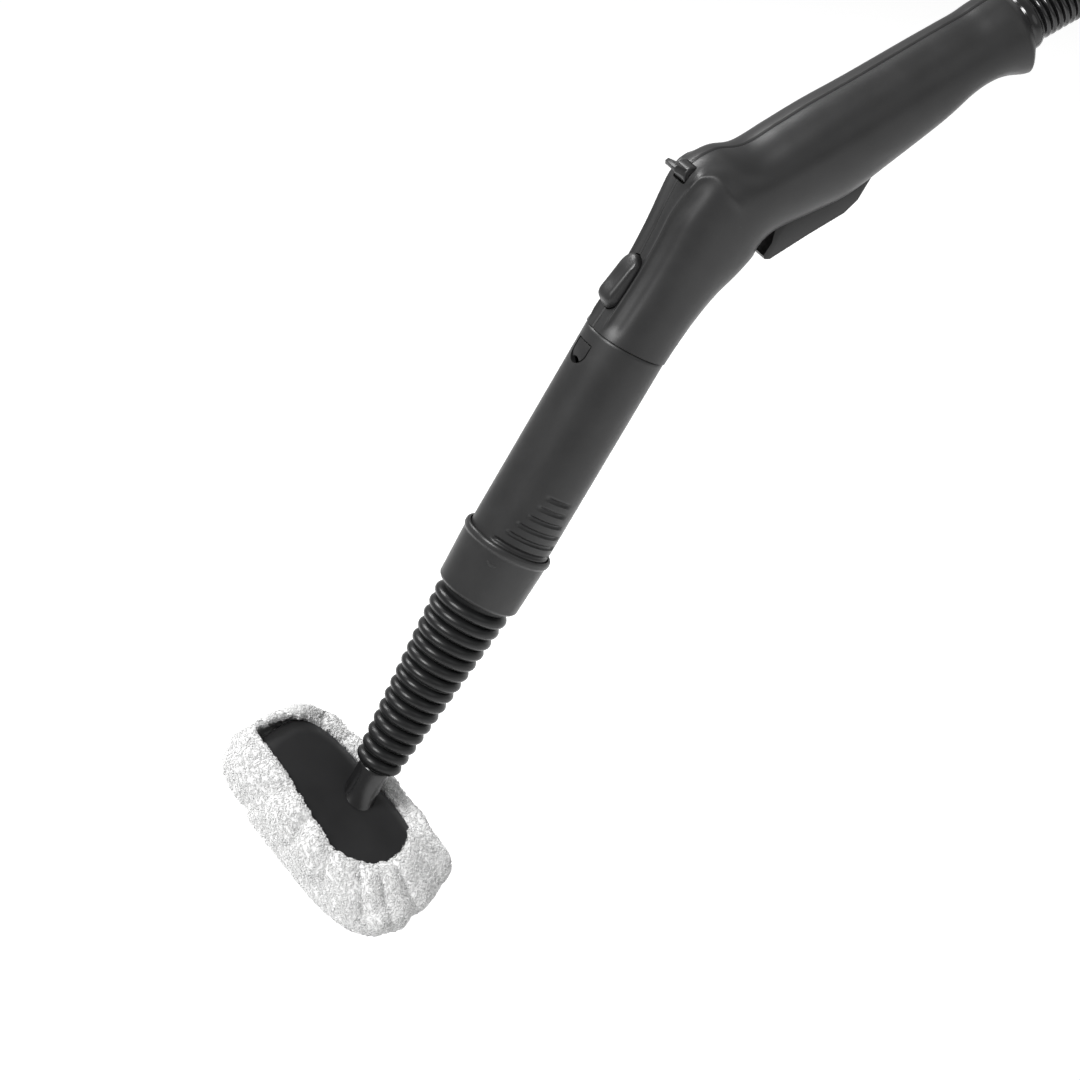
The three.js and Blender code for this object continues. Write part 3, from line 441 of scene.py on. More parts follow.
def plastic(name, dark, light, rough, grainDepth, scratchTone=1.7, grainScale=2600.0, specular=0.5):
    # moulded plastic: grain in the height, mottling in tone and gloss, smears and hair scratches
    made, net, surface, where = newMaterial(name)
    grain = useGroup(net, groups["grain"], where, **{"Grain Scale": grainScale})
    wear = useGroup(net, groups["wear"], where)
    base = mixColour(net, spread(net, grain.outputs["Mottle"], 0.3, 0.7, 0, 1), dark, light)
    scratched = tuple(min(1.0, c * scratchTone) for c in light)
    worn = mixColour(net, sum2(net, wear.outputs["Scratch"], 0.35, "MULTIPLY"), base, scratched)
    net.link(worn, surface.inputs["Base Color"])
    gloss = spread(net, wear.outputs["Smear"], 0, 1, rough[0], rough[1])
    net.link(gloss, surface.inputs["Roughness"])
    surface.inputs["Specular IOR Level"].default_value = specular
    bumpFrom(net, grain.outputs["Height"], surface, grainDepth)
    return made


def glossyHose():
    # glossy black hose: bright clear coat over a nearly black body, with faint smears of a slightly lighter
    # tone
    made, net, surface, where = newMaterial("glossBlack")
    wear = useGroup(net, groups["wear"], where)
    grain = useGroup(net, groups["grain"], where, **{"Grain Scale": 900.0})
    worn = mixColour(net, wear.outputs["Smear"], (0.003, 0.003, 0.0032), (0.006, 0.006, 0.0064))
    net.link(worn, surface.inputs["Base Color"])
    net.link(spread(net, grain.outputs["Mottle"], 0.3, 0.7, 0.14, 0.26), surface.inputs["Roughness"])
    surface.inputs["Specular IOR Level"].default_value = 0.6
    bumpFrom(net, grain.outputs["Height"], surface, 0.01)
    return made


def terryCloth():
    # white cotton: loops in the height, painted shade in the gaps between loops, a trace of warm and cool
    # tone, soft sheen
    made, net, surface, where = newMaterial("terry")
    pile = useGroup(net, groups["pile"], where)
    cloth = mixColour(net, pile.outputs["Tone"], (0.75, 0.75, 0.745), (0.81, 0.81, 0.81))
    # painted shade: the cloth is darkened towards grey in the gaps between loops
    shaded = mixColour(net, sum2(net, pile.outputs["Gap Shade"], 0.4, "MULTIPLY"), cloth, (0.62, 0.62, 0.625))
    net.link(shaded, surface.inputs["Base Color"])
    surface.inputs["Roughness"].default_value = 0.95
    surface.inputs["Sheen Weight"].default_value = 0.35
    surface.inputs["Sheen Roughness"].default_value = 0.6
    surface.inputs["Specular IOR Level"].default_value = 0.15
    surface.inputs["Subsurface Weight"].default_value = 0.15
    surface.inputs["Subsurface Radius"].default_value = (0.003, 0.003, 0.003)
    surface.inputs["Subsurface Scale"].default_value = 0.5
    bumpFrom(net, pile.outputs["Height"], surface, 0.45, 0.6)
    return made


def yarn():
    made, net, surface, where = newMaterial("terryYarn")
    twist = net.add("ShaderNodeTexNoise", Scale=1500.0, Detail=2.0)
    net.link(where, twist.inputs["Vector"])
    tone = mixColour(net, twist.outputs[0], (0.72, 0.72, 0.72), (0.8, 0.8, 0.795))
    net.link(tone, surface.inputs["Base Color"])
    surface.inputs["Roughness"].default_value = 0.92
    surface.inputs["Sheen Weight"].default_value = 0.3
    surface.inputs["Specular IOR Level"].default_value = 0.15
    surface.inputs["Subsurface Weight"].default_value = 0.35
    surface.inputs["Subsurface Radius"].default_value = (0.002, 0.002, 0.002)
    return made


def metal(name, colour, rough, brushed=(1, 1, 1)):
    # turned or drawn metal: fine lines in the gloss and the height
    made, net, surface, where = newMaterial(name)
    lines = net.add("ShaderNodeMapping")
    lines.inputs["Scale"].default_value = brushed
    net.link(where, lines.inputs["Vector"])
    streak = net.add("ShaderNodeTexNoise", Scale=1800.0, Detail=3.0)
    net.link(lines.outputs[0], streak.inputs["Vector"])
    tarnish = useGroup(net, groups["wear"], where)
    dull = tuple(c * 0.72 for c in colour)
    net.link(mixColour(net, tarnish.outputs["Smear"], colour, dull), surface.inputs["Base Color"])
    surface.inputs["Metallic"].default_value = 1.0
    gloss = spread(net, streak.outputs[0], 0.3, 0.7, rough - 0.07, rough + 0.1)
    net.link(gloss, surface.inputs["Roughness"])
    bumpFrom(net, streak.outputs[0], surface, 0.006)
    return made


paint = dict(
    shell=plastic("shellPlastic", (0.0135, 0.0135, 0.0137), (0.018, 0.018, 0.0183), (0.36, 0.46), 0.016,
                  2.0, 2600.0, 0.42),
    control=plastic("controlPlastic", (0.011, 0.011, 0.0112), (0.015, 0.015, 0.0153), (0.34, 0.44), 0.014,
                    2.0, 2600.0, 0.42),
    plate=plastic("platePlastic", (0.009, 0.009, 0.0095), (0.013, 0.013, 0.0135), (0.5, 0.6), 0.022,
                  2.0, 2600.0, 0.35),
    rubber=plastic("bellowsRubber", (0.006, 0.0062, 0.0065), (0.009, 0.0092, 0.0095), (0.3, 0.42), 0.012,
                   1.6, 1700.0, 0.3),
    gloss=glossyHose(),
    terry=terryCloth(),
    yarn=yarn(),
    elastic=plastic("elastic", (0.6, 0.6, 0.59), (0.75, 0.75, 0.74), (0.85, 0.95), 0.12, 1.05, 900.0, 0.2),
    bristle=plastic("bristle", (0.2, 0.2, 0.205), (0.28, 0.28, 0.285), (0.42, 0.55), 0.02, 1.2, 1500.0),
    seal=plastic("sealRubber", (0.012, 0.012, 0.0125), (0.02, 0.02, 0.021), (0.55, 0.68), 0.02),
    steel=metal("steel", (0.62, 0.63, 0.64), 0.3, (1, 6, 1)),
    brass=metal("brass", (0.78, 0.58, 0.29), 0.27, (1, 1, 5)),
)
print("materials made:", len(paint))


# Hose: the free route, the coil on the surface and the straight tail, as one cord

hose = dict(radius=10, surface=-680, centre=(68, -75), coilRadius=100, landing=75, turns=1.7917, tail=68,
            rib=3.0, ribDepth=1.5, around=24, rowsPerRib=6)

hoseRoute = [
    (0.0534, 0, 0.0205), (0.06, 0, 0.0231), (0.0722, 0, 0.0276), (0.0879, 0, 0.0307), (0.1084, 0, 0.03),
    (0.1277, 0, 0.024), (0.1463, 0, 0.012), (0.1605, 0, -0.0042), (0.1702, 0, -0.0236), (0.1746, 0, -0.0444),
    (0.175, 0, -0.07), (0.175, 0, -0.13), (0.175, 0, -0.19), (0.175, 0, -0.25), (0.175, 0, -0.31),
    (0.175, 0, -0.37), (0.175, 0, -0.43), (0.175, 0, -0.49), (0.175, 0, -0.541), (0.175, 0, -0.566),
    (0.1722, 0.0007, -0.5877), (0.1641, 0.0029, -0.608), (0.1512, 0.0064, -0.6254),
    (0.1344, 0.0109, -0.6387), (0.1149, 0.0161, -0.6471), (0.0939, 0.0216, -0.65),
]


def hoseLine():
    # a centripetal curve through the route, then the coil's circle, then the straight tail, in mm
    knots = np.array(hoseRoute) / mm
    ends = np.vstack([2 * knots[0] - knots[1], knots, 2 * knots[-1] - knots[-2]])
    line = []
    for i in range(len(knots) - 1):
        p = ends[i:i + 4]
        t = np.concatenate([[0], np.cumsum(np.sqrt(np.linalg.norm(np.diff(p, axis=0), axis=1)))])
        s = np.linspace(t[1], t[2], 12, endpoint=False)[:, None]
        a = [p[k] * (t[k + 1] - s) / (t[k + 1] - t[k]) + p[k + 1] * (s - t[k]) / (t[k + 1] - t[k])
             for k in range(3)]
        b = [a[k] * (t[k + 2] - s) / (t[k + 2] - t[k]) + a[k + 1] * (s - t[k]) / (t[k + 2] - t[k])
             for k in range(2)]
        line.append(b[0] * (t[2] - s) / (t[2] - t[1]) + b[1] * (s - t[1]) / (t[2] - t[1]))
    swept = np.linspace(0, 360 * hose["turns"], 160)
    angle = np.radians(hose["landing"] + swept)
    low = hose["surface"] + hose["radius"]
    height = low + 20 * (1 - smoothStep(swept, 285, 350))
    x = hose["centre"][0] + hose["coilRadius"] * np.cos(angle)
    y = hose["centre"][1] + hose["coilRadius"] * np.sin(angle)
    line.append(np.stack([x, y, height], 1))
    run = np.linspace(4, hose["tail"], 14)
    tailX = hose["centre"][0] + hose["coilRadius"]
    rise = low + smoothStep(run, 0, 30)
    line.append(np.stack([tailX + 0 * run, hose["centre"][1] + run, rise], 1))
    return np.concatenate(line)


def along(line, step):
    # the line cut again into even steps, with its length
    reach = np.concatenate([[0], np.cumsum(np.linalg.norm(np.diff(line, axis=0), axis=1))])
    even = np.linspace(0, reach[-1], int(reach[-1] / step) + 1)
    return np.stack([np.interp(even, reach, line[:, k]) for k in range(3)], 1), reach[-1]


def smoothed(line, passes):
    line = line.copy()
    for _ in range(passes):
        line[1:-1] = 0.25 * line[:-2] + 0.5 * line[1:-1] + 0.25 * line[2:]
    return line


def buildHose():
    # rings square to the route; the radius swells to a flat-topped rib and drops to a groove each rib length
    line, length = along(hoseLine(), hose["rib"] / hose["rowsPerRib"])
    line = smoothed(line, 24)
    heading = np.gradient(line, axis=0)
    heading /= np.linalg.norm(heading, axis=1)[:, None]
    side = np.zeros_like(line)
    side[0] = np.cross(heading[0], (0, 1, 0))
    for i in range(1, len(line)):  # each ring keeps the last one's turn, with no twist
        kept = side[i - 1] - heading[i] * (side[i - 1] @ heading[i])
        side[i] = kept / np.linalg.norm(kept)
    other = np.cross(heading, side)
    phase = np.arange(len(line)) / hose["rowsPerRib"]
    groove = np.exp(-((phase % 1 - 0.5) / 0.17) ** 2)
    radius = hose["radius"] - hose["ribDepth"] * groove
    angle = np.linspace(0, 2 * math.pi, hose["around"], endpoint=False)
    ring = np.cos(angle)[None, :, None] * side[:, None] + np.sin(angle)[None, :, None] * other[:, None]
    grid = line[:, None] + radius[:, None, None] * ring
    first, last = grid[:1] * 0 + line[0], grid[-1:] * 0 + line[-1]  # both ends close on their middle
    grid = np.concatenate([first, grid, last])
    faces = gridFaces(len(grid), hose["around"], False, True)
    piece = buildMesh("steamHose", grid.reshape(-1, 3) * mm, faces, paint["gloss"])
    crisp(outward(piece), 60)
    return piece, line * mm, length * mm


steamHose, hosePath, hoseLength = buildHose()
print("hose length %.3f m" % hoseLength)


# Hose plug at the far end

plug = dict(radius=13, length=52)
plugStart = (hose["centre"][0] + hose["coilRadius"], hose["centre"][1] + hose["tail"],
             hose["surface"] + plug["radius"])
plugFrame = Matrix.Scale(mm, 4) @ shift(*plugStart) @ Matrix.Rotation(-math.pi / 2, 4, "X") @ turnZ(-90)


def plugGrip(grid, angle):
    # shallow flutes round the plug's barrel, between heights 12 and 19 and between 36 and 42
    z = grid[..., 2]
    band = (smoothStep(z, 12.5, 14) - smoothStep(z, 17.5, 19)
            + smoothStep(z, 36, 37) - smoothStep(z, 40, 41.5))
    outer = np.hypot(grid[..., 0], grid[..., 1]) > plug["radius"] - 0.6
    cut = 1 - 0.035 * band * outer * (0.5 + 0.5 * np.cos(24 * angle))
    grid[..., 0] *= cut
    grid[..., 1] *= cut
    return grid


def buildPlug():
    r, end = plug["radius"], plug["length"]
    outline = [(4, 0), (hose["radius"] + 0.6, 0), (hose["radius"] + 1, 6), (r, 12), (r, end - 10),
               (r - 1.4, end - 10), (r - 1.4, end - 8), (r, end - 8), (r, end), (6, end), (6, end - 8),
               (4, end - 8)]
    body = lathe("plugBody", finer(rounded(outline, 0.7), 0.9), plugFrame, paint["control"], 96, plugGrip)
    well = prism("well", [(r - 5.2, -4.6), (r + 5, -4.6), (r + 5, 4.6), (r - 5.2, 4.6)], 19.4, 34.6,
                 plugFrame, "z")
    carve(body, [well])
    show(body, "handset", "control_plastic", "hose_plug")
    nipple = [(2.2, end - 7.4), (5.6, end - 7.4), (5.6, end + 4), (4.8, end + 4), (4.8, end + 6.4),
              (5.6, end + 6.4), (5.6, end + 9), (4.6, end + 10), (2.2, end + 10)]
    tip = lathe("plugNipple", rounded(nipple, 0.3, 3), plugFrame, paint["brass"], 64)
    show(tip, "handset", "brass", "plug_nipple")
    turn = np.linspace(0, 2 * math.pi, 16, endpoint=False)
    ring = np.stack([5.75 + 0.9 * np.cos(turn), end + 5.2 + 0.9 * np.sin(turn)], 1)
    seal = lathe("plugSeal", ring, plugFrame, paint["seal"], 64)
    show(seal, "handset", "seal_rubber", "plug_seal")
    button = fromCad("plug_button", 0.6, paint["bristle"], "bristle", "plug_button")
    return [body, tip, seal, button]


plugPieces = buildPlug()
show(steamHose, "handset", "gloss_black", "hose_tube", "hose_coil", "hose_tail")
print("hose and plug made")


# Handset shells

# Each station: place across and along the tool frame, turn in degrees, reach over, under and to the side.
noseStations = [
    (0, 0, 0, 17.5, 17.5, 17.5), (0, 0.123, 0, 16.8, 18.1, 17.3), (0, 0.31, 0, 15.9, 19.6, 17.2),
    (0, 0.5, 0, 15.6, 22.2, 17.4), (0, 0.69, 2, 16.2, 26.3, 17.9), (0.3, 0.87, 9, 18, 28.6, 18.2),
    (2.2, 1.01, 20, 20.6, 27.6, 18.4), (6.6, 1.128, 30, 19.6, 25.4, 18.4),
]
# Along the handle from its bend: reach over, under and to the side.
handleStations = [
    (22.5, 15.2, 23.8, 18.3), (38, 15.6, 25.4, 18.5), (54, 16.3, 26.6, 18.4), (75, 16.3, 23.4, 17.6),
    (101, 16.8, 18.4, 17), (116, 17, 13.6, 16.5), (125, 17, 12.6, 16.5), (132, 17.6, 14, 17),
    (140, 17.8, 17.8, 17.6), (142.5, 17, 17.6, 17.2), (146, 13.4, 12.4, 13.4),
]
shell = dict(wall=2.6, seamGap=0.15, seamDepth=0.65, seamWidth=0.6, steps=14, around=128, square=2.15,
             ridge=1.05, ridgeWidth=3.6, hook=0.9, hookWidth=1.7)
latch = dict(start=9.5, length=24, width=10.5, rise=6, rearRise=3.2)
lock = dict(across=-15.4, along=70.8, width=9, barrel=3.9)


def stationTable():
    rows = [(x, share * tool["noseLength"], *rest) for x, share, *rest in noseStations]
    for distance, *rest in handleStations:
        spot = handleInTool @ Vector((tool["handleDrop"], 0, distance))
        rows.append((spot.x, spot.z, tool["kink"], *rest))
    return np.array(rows, float)


def between(table, steps):
    # a smooth cubic through each four neighbouring stations
    ends = np.vstack([table[:1], table, table[-1:]])
    t = (np.arange(steps) / steps)[None, :, None]
    a, b, c, d = (ends[k:len(table) - 1 + k][:, None] for k in range(4))
    fine = b + 0.5 * t * (c - a + t * (2 * a - 5 * b + 4 * c - d + t * (3 * (b - c) + d - a)))
    return np.vstack([fine.reshape(-1, table.shape[1]), table[-1:]])


def shellSkin(side, wall):
    # half a rounded oval at each station, from under (angle 0) to over (angle 180), drawn in by the wall:
    # |across/reach|^2.15 + |y/wide|^2.15 = 1; the outside adds a crest, a hollow beside it and a seam dip
    table = between(stationTable(), shell["steps"])
    share = np.linspace(0, 1, shell["around"])
    angle = math.pi * (share - 0.045 * np.sin(2 * math.pi * share) * 1.6)
    x, z, turn, over, under, wide = (table[:, k:k + 1] for k in range(6))
    power = 2 / shell["square"]
    c, s = np.cos(angle)[None], np.sin(angle)[None]
    reach = np.where(c > 0, under, over)
    fromTop = 180 - np.degrees(angle)[None]
    # the crest runs up the nose and turns down the side at the bend, where it is measured along the tube
    nose = smoothStep(z, -1, 7) * (1 - smoothStep(z, 60, 70))
    crest = 19 + 9 * smoothStep(z, 50, 68)
    ridge = shell["ridge"] * nose * np.exp(-(np.abs(fromTop - crest) / shell["ridgeWidth"]) ** 1.6)
    hollow = 0.6 * nose * np.exp(-((fromTop - crest - 15) / 9) ** 2)
    line = 69 - 3.2 * np.exp(-((fromTop - 26) / 9) ** 2)
    hookFade = smoothStep(fromTop, 18, 32) * (1 - smoothStep(fromTop, 72, 96))
    bendCrest = shell["hook"] * hookFade * np.exp(-(np.abs(z - line) / shell["hookWidth"]) ** 1.6)
    grow = (ridge - hollow + bendCrest) * (wall == 0) - wall
    across = np.sign(c) * np.abs(c) ** power * (reach + grow)
    y = np.abs(s) ** power * (wide + grow)
    seam = np.exp(-(y / shell["seamWidth"]) ** 2) * shell["seamDepth"] * (wall == 0)
    across = across - np.sign(c) * seam
    y = side * np.maximum(y, shell["seamGap"])
    turn = np.radians(turn)
    return np.stack([x + across * np.cos(turn), y, z - across * np.sin(turn)], -1)


def stadium(width, low, high, steps=20):
    # a slot outline with half-round ends, as (across, along)
    r = width / 2
    turn = np.linspace(0, math.pi, steps)
    top = np.stack([r * np.cos(turn), high - r + r * np.sin(turn)], 1)
    bottom = np.stack([-r * np.cos(turn), low + r - r * np.sin(turn)], 1)
    return np.vstack([top, bottom])


def circle(radius, middle=(0, 0), steps=48):
    turn = np.linspace(0, 2 * math.pi, steps, endpoint=False)
    return np.stack([middle[0] + radius * np.cos(turn), middle[1] + radius * np.sin(turn)], 1)


def slotTools():
    low, high = latch["start"] - 0.5, latch["start"] + latch["length"] + 0.5
    button = prism("cut", stadium(latch["width"] + 1, low, high), -30, -5, toolFrame, "x")
    half = lock["width"] / 2 + 0.5
    low, high = lock["along"] - 4.3, lock["along"] + 4
    lever = prism("cut", rounded([(-half, low), (half, low), (half, high), (-half, high)], 1.2),
                  -30, lock["across"] + 3.4, toolFrame, "x")
    trigger = prism("cut", rounded([(-7.5, 10.5), (7.5, 10.5), (7.5, 71), (-7.5, 71)], 1.6), 21.5, 45,
                    handleFrame, "x")
    butt = prism("cut", circle(11.3, (tool["handleDrop"], 0)), 136, 170, handleFrame, "z")
    return [button, lever, trigger, butt]


screwSpots = {
    "shell_screw_nose_front": toolFrame @ Vector((12, 0, 14)),
    "shell_screw_nose_rear": toolFrame @ Vector((19, 0, 44)),
    "shell_screw_handle_front": handleFrame @ Vector((-7, 0, 50)),
    "shell_screw_handle_middle": handleFrame @ Vector((14, 0, 84)),
    "shell_screw_handle_rear": handleFrame @ Vector((-6.5, 0, 120)),
}


def screwRecesses():
    # counterbores over the five shell screws, on the right half
    made = []
    for spot in screwSpots.values():
        outline = circle(3.1, (spot.x / mm, spot.z / mm), 32)
        made.append(prism("cut", outline, 10.6, 40, Matrix.Scale(mm, 4), "y"))
    return made


def buildShell(name, side, node):
    outside, inside = shellSkin(side, 0), shellSkin(side, shell["wall"])
    grid = np.concatenate([outside, inside[:, ::-1]], 1)
    rows, columns = grid.shape[:2]
    j = np.arange(shell["around"] - 1)
    rim = np.stack([j, j + 1, columns - 2 - j, columns - 1 - j], 1)
    faces = np.vstack([gridFaces(rows, columns, False, True), rim, rim + (rows - 1) * columns])
    piece = outward(buildMesh(name, place(grid.reshape(-1, 3), toolFrame), faces, paint["shell"]))
    carve(piece, slotTools() + (screwRecesses() if side > 0 else []))
    crisp(piece, 40)
    return show(piece, "handset", "shell_plastic", node)


buildShell("shellLeft", -1, "handset_shell_left")
buildShell("shellRight", 1, "handset_shell_right")
print("shells made")


# Controls

def buildLatchButton():
    # a stadium cap whose top follows a ramp from a proud front to a low rear, with a dished thumb hollow
    rows, columns = 26, 96
    turn = np.linspace(0, 2 * math.pi, columns, endpoint=False)
    half, r = latch["length"] / 2, latch["width"] / 2
    middle = latch["start"] + half
    edgeY = r * np.cos(turn)
    edgeZ = r * np.sin(turn) + np.sign(np.sin(turn)) * (half - r)
    drop = np.linspace(0, 1, rows)
    inset = np.where(drop < 0.3, 1, np.cos((drop - 0.3) / 0.7 * math.pi / 2))
    inset = np.where(drop < 0.3, 1, inset ** 0.55)
    y = inset[:, None] * edgeY
    z = inset[:, None] * edgeZ
    share = (z + half) / (2 * half)
    top = 15.9 + latch["rise"] + (latch["rearRise"] - latch["rise"]) * smoothStep(share, 0.16, 0.95)
    top = top - 2.6 * (1 - smoothStep(share, 0, 0.2)) ** 2
    top = top - 0.9 * np.exp(-((share - 0.46) / 0.2) ** 2) * (1 - (y / r) ** 2)
    raised = np.where(drop < 0.3, drop / 0.3 * 0.8, 0.8 + 0.2 * np.sin((drop - 0.3) / 0.7 * math.pi / 2))
    x = -(8.2 + (top - 8.2) * raised[:, None])
    points = np.stack([x, y, z + middle], -1).reshape(-1, 3)
    faces = gridFaces(rows, columns, False, True)
    base = np.array([[-8.2, 0, middle]])
    fan = np.stack([np.full(columns, len(points)), np.full(columns, len(points)),
                    (np.arange(columns) + 1) % columns, np.arange(columns)], 1)
    piece = buildMesh("latchButton", place(np.vstack([points, base]), toolFrame), np.vstack([faces, fan]),
                      paint["control"])
    outward(piece)
    crisp(piece, 50)
    return show(piece, "release_latch", "control_plastic")


def fromCadCut(node, name, keepBelow, width, material, slotName, body):
    # a CAD node's shape without what stands further over the tube than keepBelow
    piece = fromCad(node, 0, material, slotName, body)
    piece.name = name
    low, high = latch["start"] - 2, latch["start"] + latch["length"] + 2
    corners = [(-12, low), (12, low), (12, high), (-12, high)]
    block = prism("cut", corners, -40, -keepBelow, toolFrame, "x")
    gap = prism("cut", circle(4.9, (0, -18.2)), -30, -13.7, toolFrame, "x")
    carve(piece, [block, gap])
    settle(soften(piece, width, 2))
    return crisp(piece, 30)


buildLatchButton()
fromCadCut("release_latch", "latchArm", 9.2, 0.35, paint["control"], "control_plastic", "release_latch")
fromCad("steam_lock_lever", 0.7, paint["control"], "control_plastic", "steam_lock_lever")
fromCad("trigger", 1.5, paint["control"], "control_plastic", "trigger")

def buildLockKnuckle():
    # the lever's round barrel over its pin, closing the slot in front of it
    half, r = lock["width"] / 2 - 0.05, lock["barrel"]
    outline = [(1.6, -half), (r, -half), (r, half), (1.6, half)]
    across = toolFrame @ shift(lock["across"], 0, lock["along"]) @ Matrix.Rotation(math.pi / 2, 4, "X")
    piece = lathe("lockKnuckle", finer(rounded(outline, 0.6), 0.7), across, paint["control"], 48)
    return show(piece, "steam_lock_lever", "control_plastic")


buildLockKnuckle()
for node in ("steam_lock_pin", "trigger_pin", "release_latch_pin"):
    fromCad(node, 0.2, paint["steel"], "steel", "handset")
for node in screwSpots:
    fromCad(node, 0.15, paint["steel"], "steel", "handset")
for node in ("release_latch_spring", "trigger_spring"):
    fromCad(node, 0, paint["steel"], "steel", "handset")
fromCad("steam_microswitch", 0.5, paint["gloss"], "gloss_black", "handset")
fromCad("switch_plunger", 0.3, paint["bristle"], "bristle", "switch_plunger")
fromCad("steam_pipe", 0, paint["brass"], "brass", "handset")
fromCad("steam_nozzle", 0.2, paint["brass"], "brass", "handset")
for node in ("nozzle_seal_front", "nozzle_seal_rear"):
    fromCad(node, 0, paint["seal"], "seal_rubber", "handset")
print("controls made")


# Hose gland in the butt

def buildGland():
    # a lathed gland with a rounded collar and a rolled lip where the hose enters
    outline = [(4, 130), (7, 130), (8, 136), (12.4, 138), (12.4, 142.2), (11, 142.2), (11, 147), (11.6, 148),
               (11.6, 150), (10.6, 152), (4, 152)]
    piece = lathe("hoseGland", rounded(outline, 0.8), handleFrame @ shift(tool["handleDrop"], 0, 0),
                  paint["gloss"], 80)
    return show(piece, "handset", "gloss_black", "hose_ferrule")


buildGland()


# Adapter tube, twist collar and corrugated neck

tube = dict(radius=17.5, wall=2.5, length=97, pitch=5, width=2.1, depth=0.95,
            arcs=(57, 45, 38, 30, 23, 20), conduit=8, conduitWall=1.6, socket=34, spigot=16)
collar = dict(overlap=3, length=27, rim=19.5, end=17.6)
neck = dict(bumps=15, pitch=5.6, top=16.5, last=10.2, depth=3.0, boreTop=9, boreEnd=5.2,
            upperBumps=7, firstHinge=-151.45, lastHinge=-179.45)
neck["first"] = -tube["length"] + collar["overlap"] - collar["length"] - 2.6
neck["end"] = neck["first"] - neck["bumps"] * neck["pitch"]


def tubeGrooves(grid, angle):
    # round-bottomed grooves sunk in the outside, each over its own arc centred on the tube's two sides
    x, y, z = grid[..., 0], grid[..., 1], grid[..., 2]
    radius = np.hypot(x, y)
    fromSide = np.degrees(np.arccos(np.clip(np.abs(y) / radius, 0, 1)))
    sunk = np.zeros_like(radius)
    first = -tube["length"] + collar["overlap"] + 1.6
    for i, half in enumerate(tube["arcs"]):
        across = np.clip(1 - ((z - first - i * tube["pitch"]) / (tube["width"] / 2)) ** 2, 0, 1) ** 0.7
        sunk += across * (1 - smoothStep(fromSide, half - 5, half + 1))
    seam = np.exp(-((z + 0.5) / 0.4) ** 2) * 0.25
    outer = radius > tube["radius"] - 0.3
    share = 1 - outer * (tube["depth"] * sunk + seam) / radius
    grid[..., 0] *= share
    grid[..., 1] *= share
    return grid


def buildTube():
    r, inner, end = tube["radius"], tube["radius"] - tube["wall"], -tube["length"]
    web, spigot, bore = end + 10, tube["radius"] - 2.2, tube["conduit"]
    outline = [(bore, -tube["socket"]), (bore + tube["conduitWall"], -tube["socket"]),
               (bore + tube["conduitWall"], web), (inner, web), (inner, -0.3), (r, -0.3), (r, end),
               (spigot, end), (spigot, end - tube["spigot"]), (bore, end - tube["spigot"])]
    profile = finer(rounded(outline, 0.45, 3), 0.45)
    piece = lathe("adapterTube", profile, toolFrame, paint["shell"], 120, tubeGrooves)
    turn = np.linspace(math.pi, 2 * math.pi, 24)
    window = [(5.5, -6), (-5.5, -6)] + [(5.5 * math.cos(a), -10.5 + 5.5 * math.sin(a)) for a in turn]
    carve(piece, [prism("cut", rounded(window, 0.5, 3), -30, -10, toolFrame, "x")])
    return show(crisp(piece, 30), "handset", "shell_plastic", "adapter_tube")


def buildCollar():
    r, rim, end = tube["radius"], collar["rim"], collar["end"]
    top = -tube["length"] + collar["overlap"]
    low, step = top - collar["length"], -tube["length"] - 0.3
    floor = -tube["length"] - tube["spigot"] - 0.5
    spigot = tube["radius"] - 2.2 + 0.5
    outline = [(r + 0.5, top), (rim - 0.5, top), (rim, top - 0.9), (rim, top - 2.6), (rim - 0.7, top - 3.6),
               (end + 0.35, low + 1.2), (end - 0.6, low), (neck["boreTop"] + 3.4, low),
               (neck["boreTop"] + 3.4, floor), (spigot, floor), (spigot, step), (r + 0.5, step)]
    piece = lathe("twistCollar", rounded(outline, 0.45, 5), toolFrame, paint["shell"], 120)
    return show(piece, "collar", "shell_plastic", "twist_collar")


def buildCollarMark():
    # a small raised crescent that marks the collar's turn: its height falls to nothing at both tips
    u = np.linspace(-1, 1, 25)
    v = np.linspace(-1, 1, 9)
    u, v = np.meshgrid(u, v, indexing="ij")
    width = 0.75 * np.sqrt(np.clip(1 - u * u, 0, 1))
    z = -102.6 + 1.1 * u * u + v * width
    angle = math.radians(232) + u * 2.6 / 19
    rise = 0.45 * (1 - v * v) * np.clip(1 - u * u, 0, 1) ** 0.5 - 0.12
    radius = 18.8 - (18.8 - 17.95) * np.clip((-97.6 - z) / 22.2, 0, 1) + rise
    grid = np.stack([radius * np.cos(angle), radius * np.sin(angle), z], -1)
    back = grid.copy()
    back[..., 0] *= 18.2 / radius
    back[..., 1] *= 18.2 / radius
    count = grid[..., 0].size
    faces = gridFaces(*grid.shape[:2])
    edge = np.concatenate([np.arange(9), np.arange(1, 25) * 9 + 8, 24 * 9 + np.arange(7, -1, -1),
                           np.arange(23, 0, -1) * 9])
    rim = np.stack([edge, np.roll(edge, -1), np.roll(edge, -1) + count, edge + count], 1)
    points = place(np.concatenate([grid.reshape(-1, 3), back.reshape(-1, 3)]), toolFrame)
    piece = buildMesh("collarMark", points, np.vstack([faces, faces[:, ::-1] + count, rim]), paint["shell"])
    outward(piece)
    return show(crisp(piece, 50), "collar", "shell_plastic")


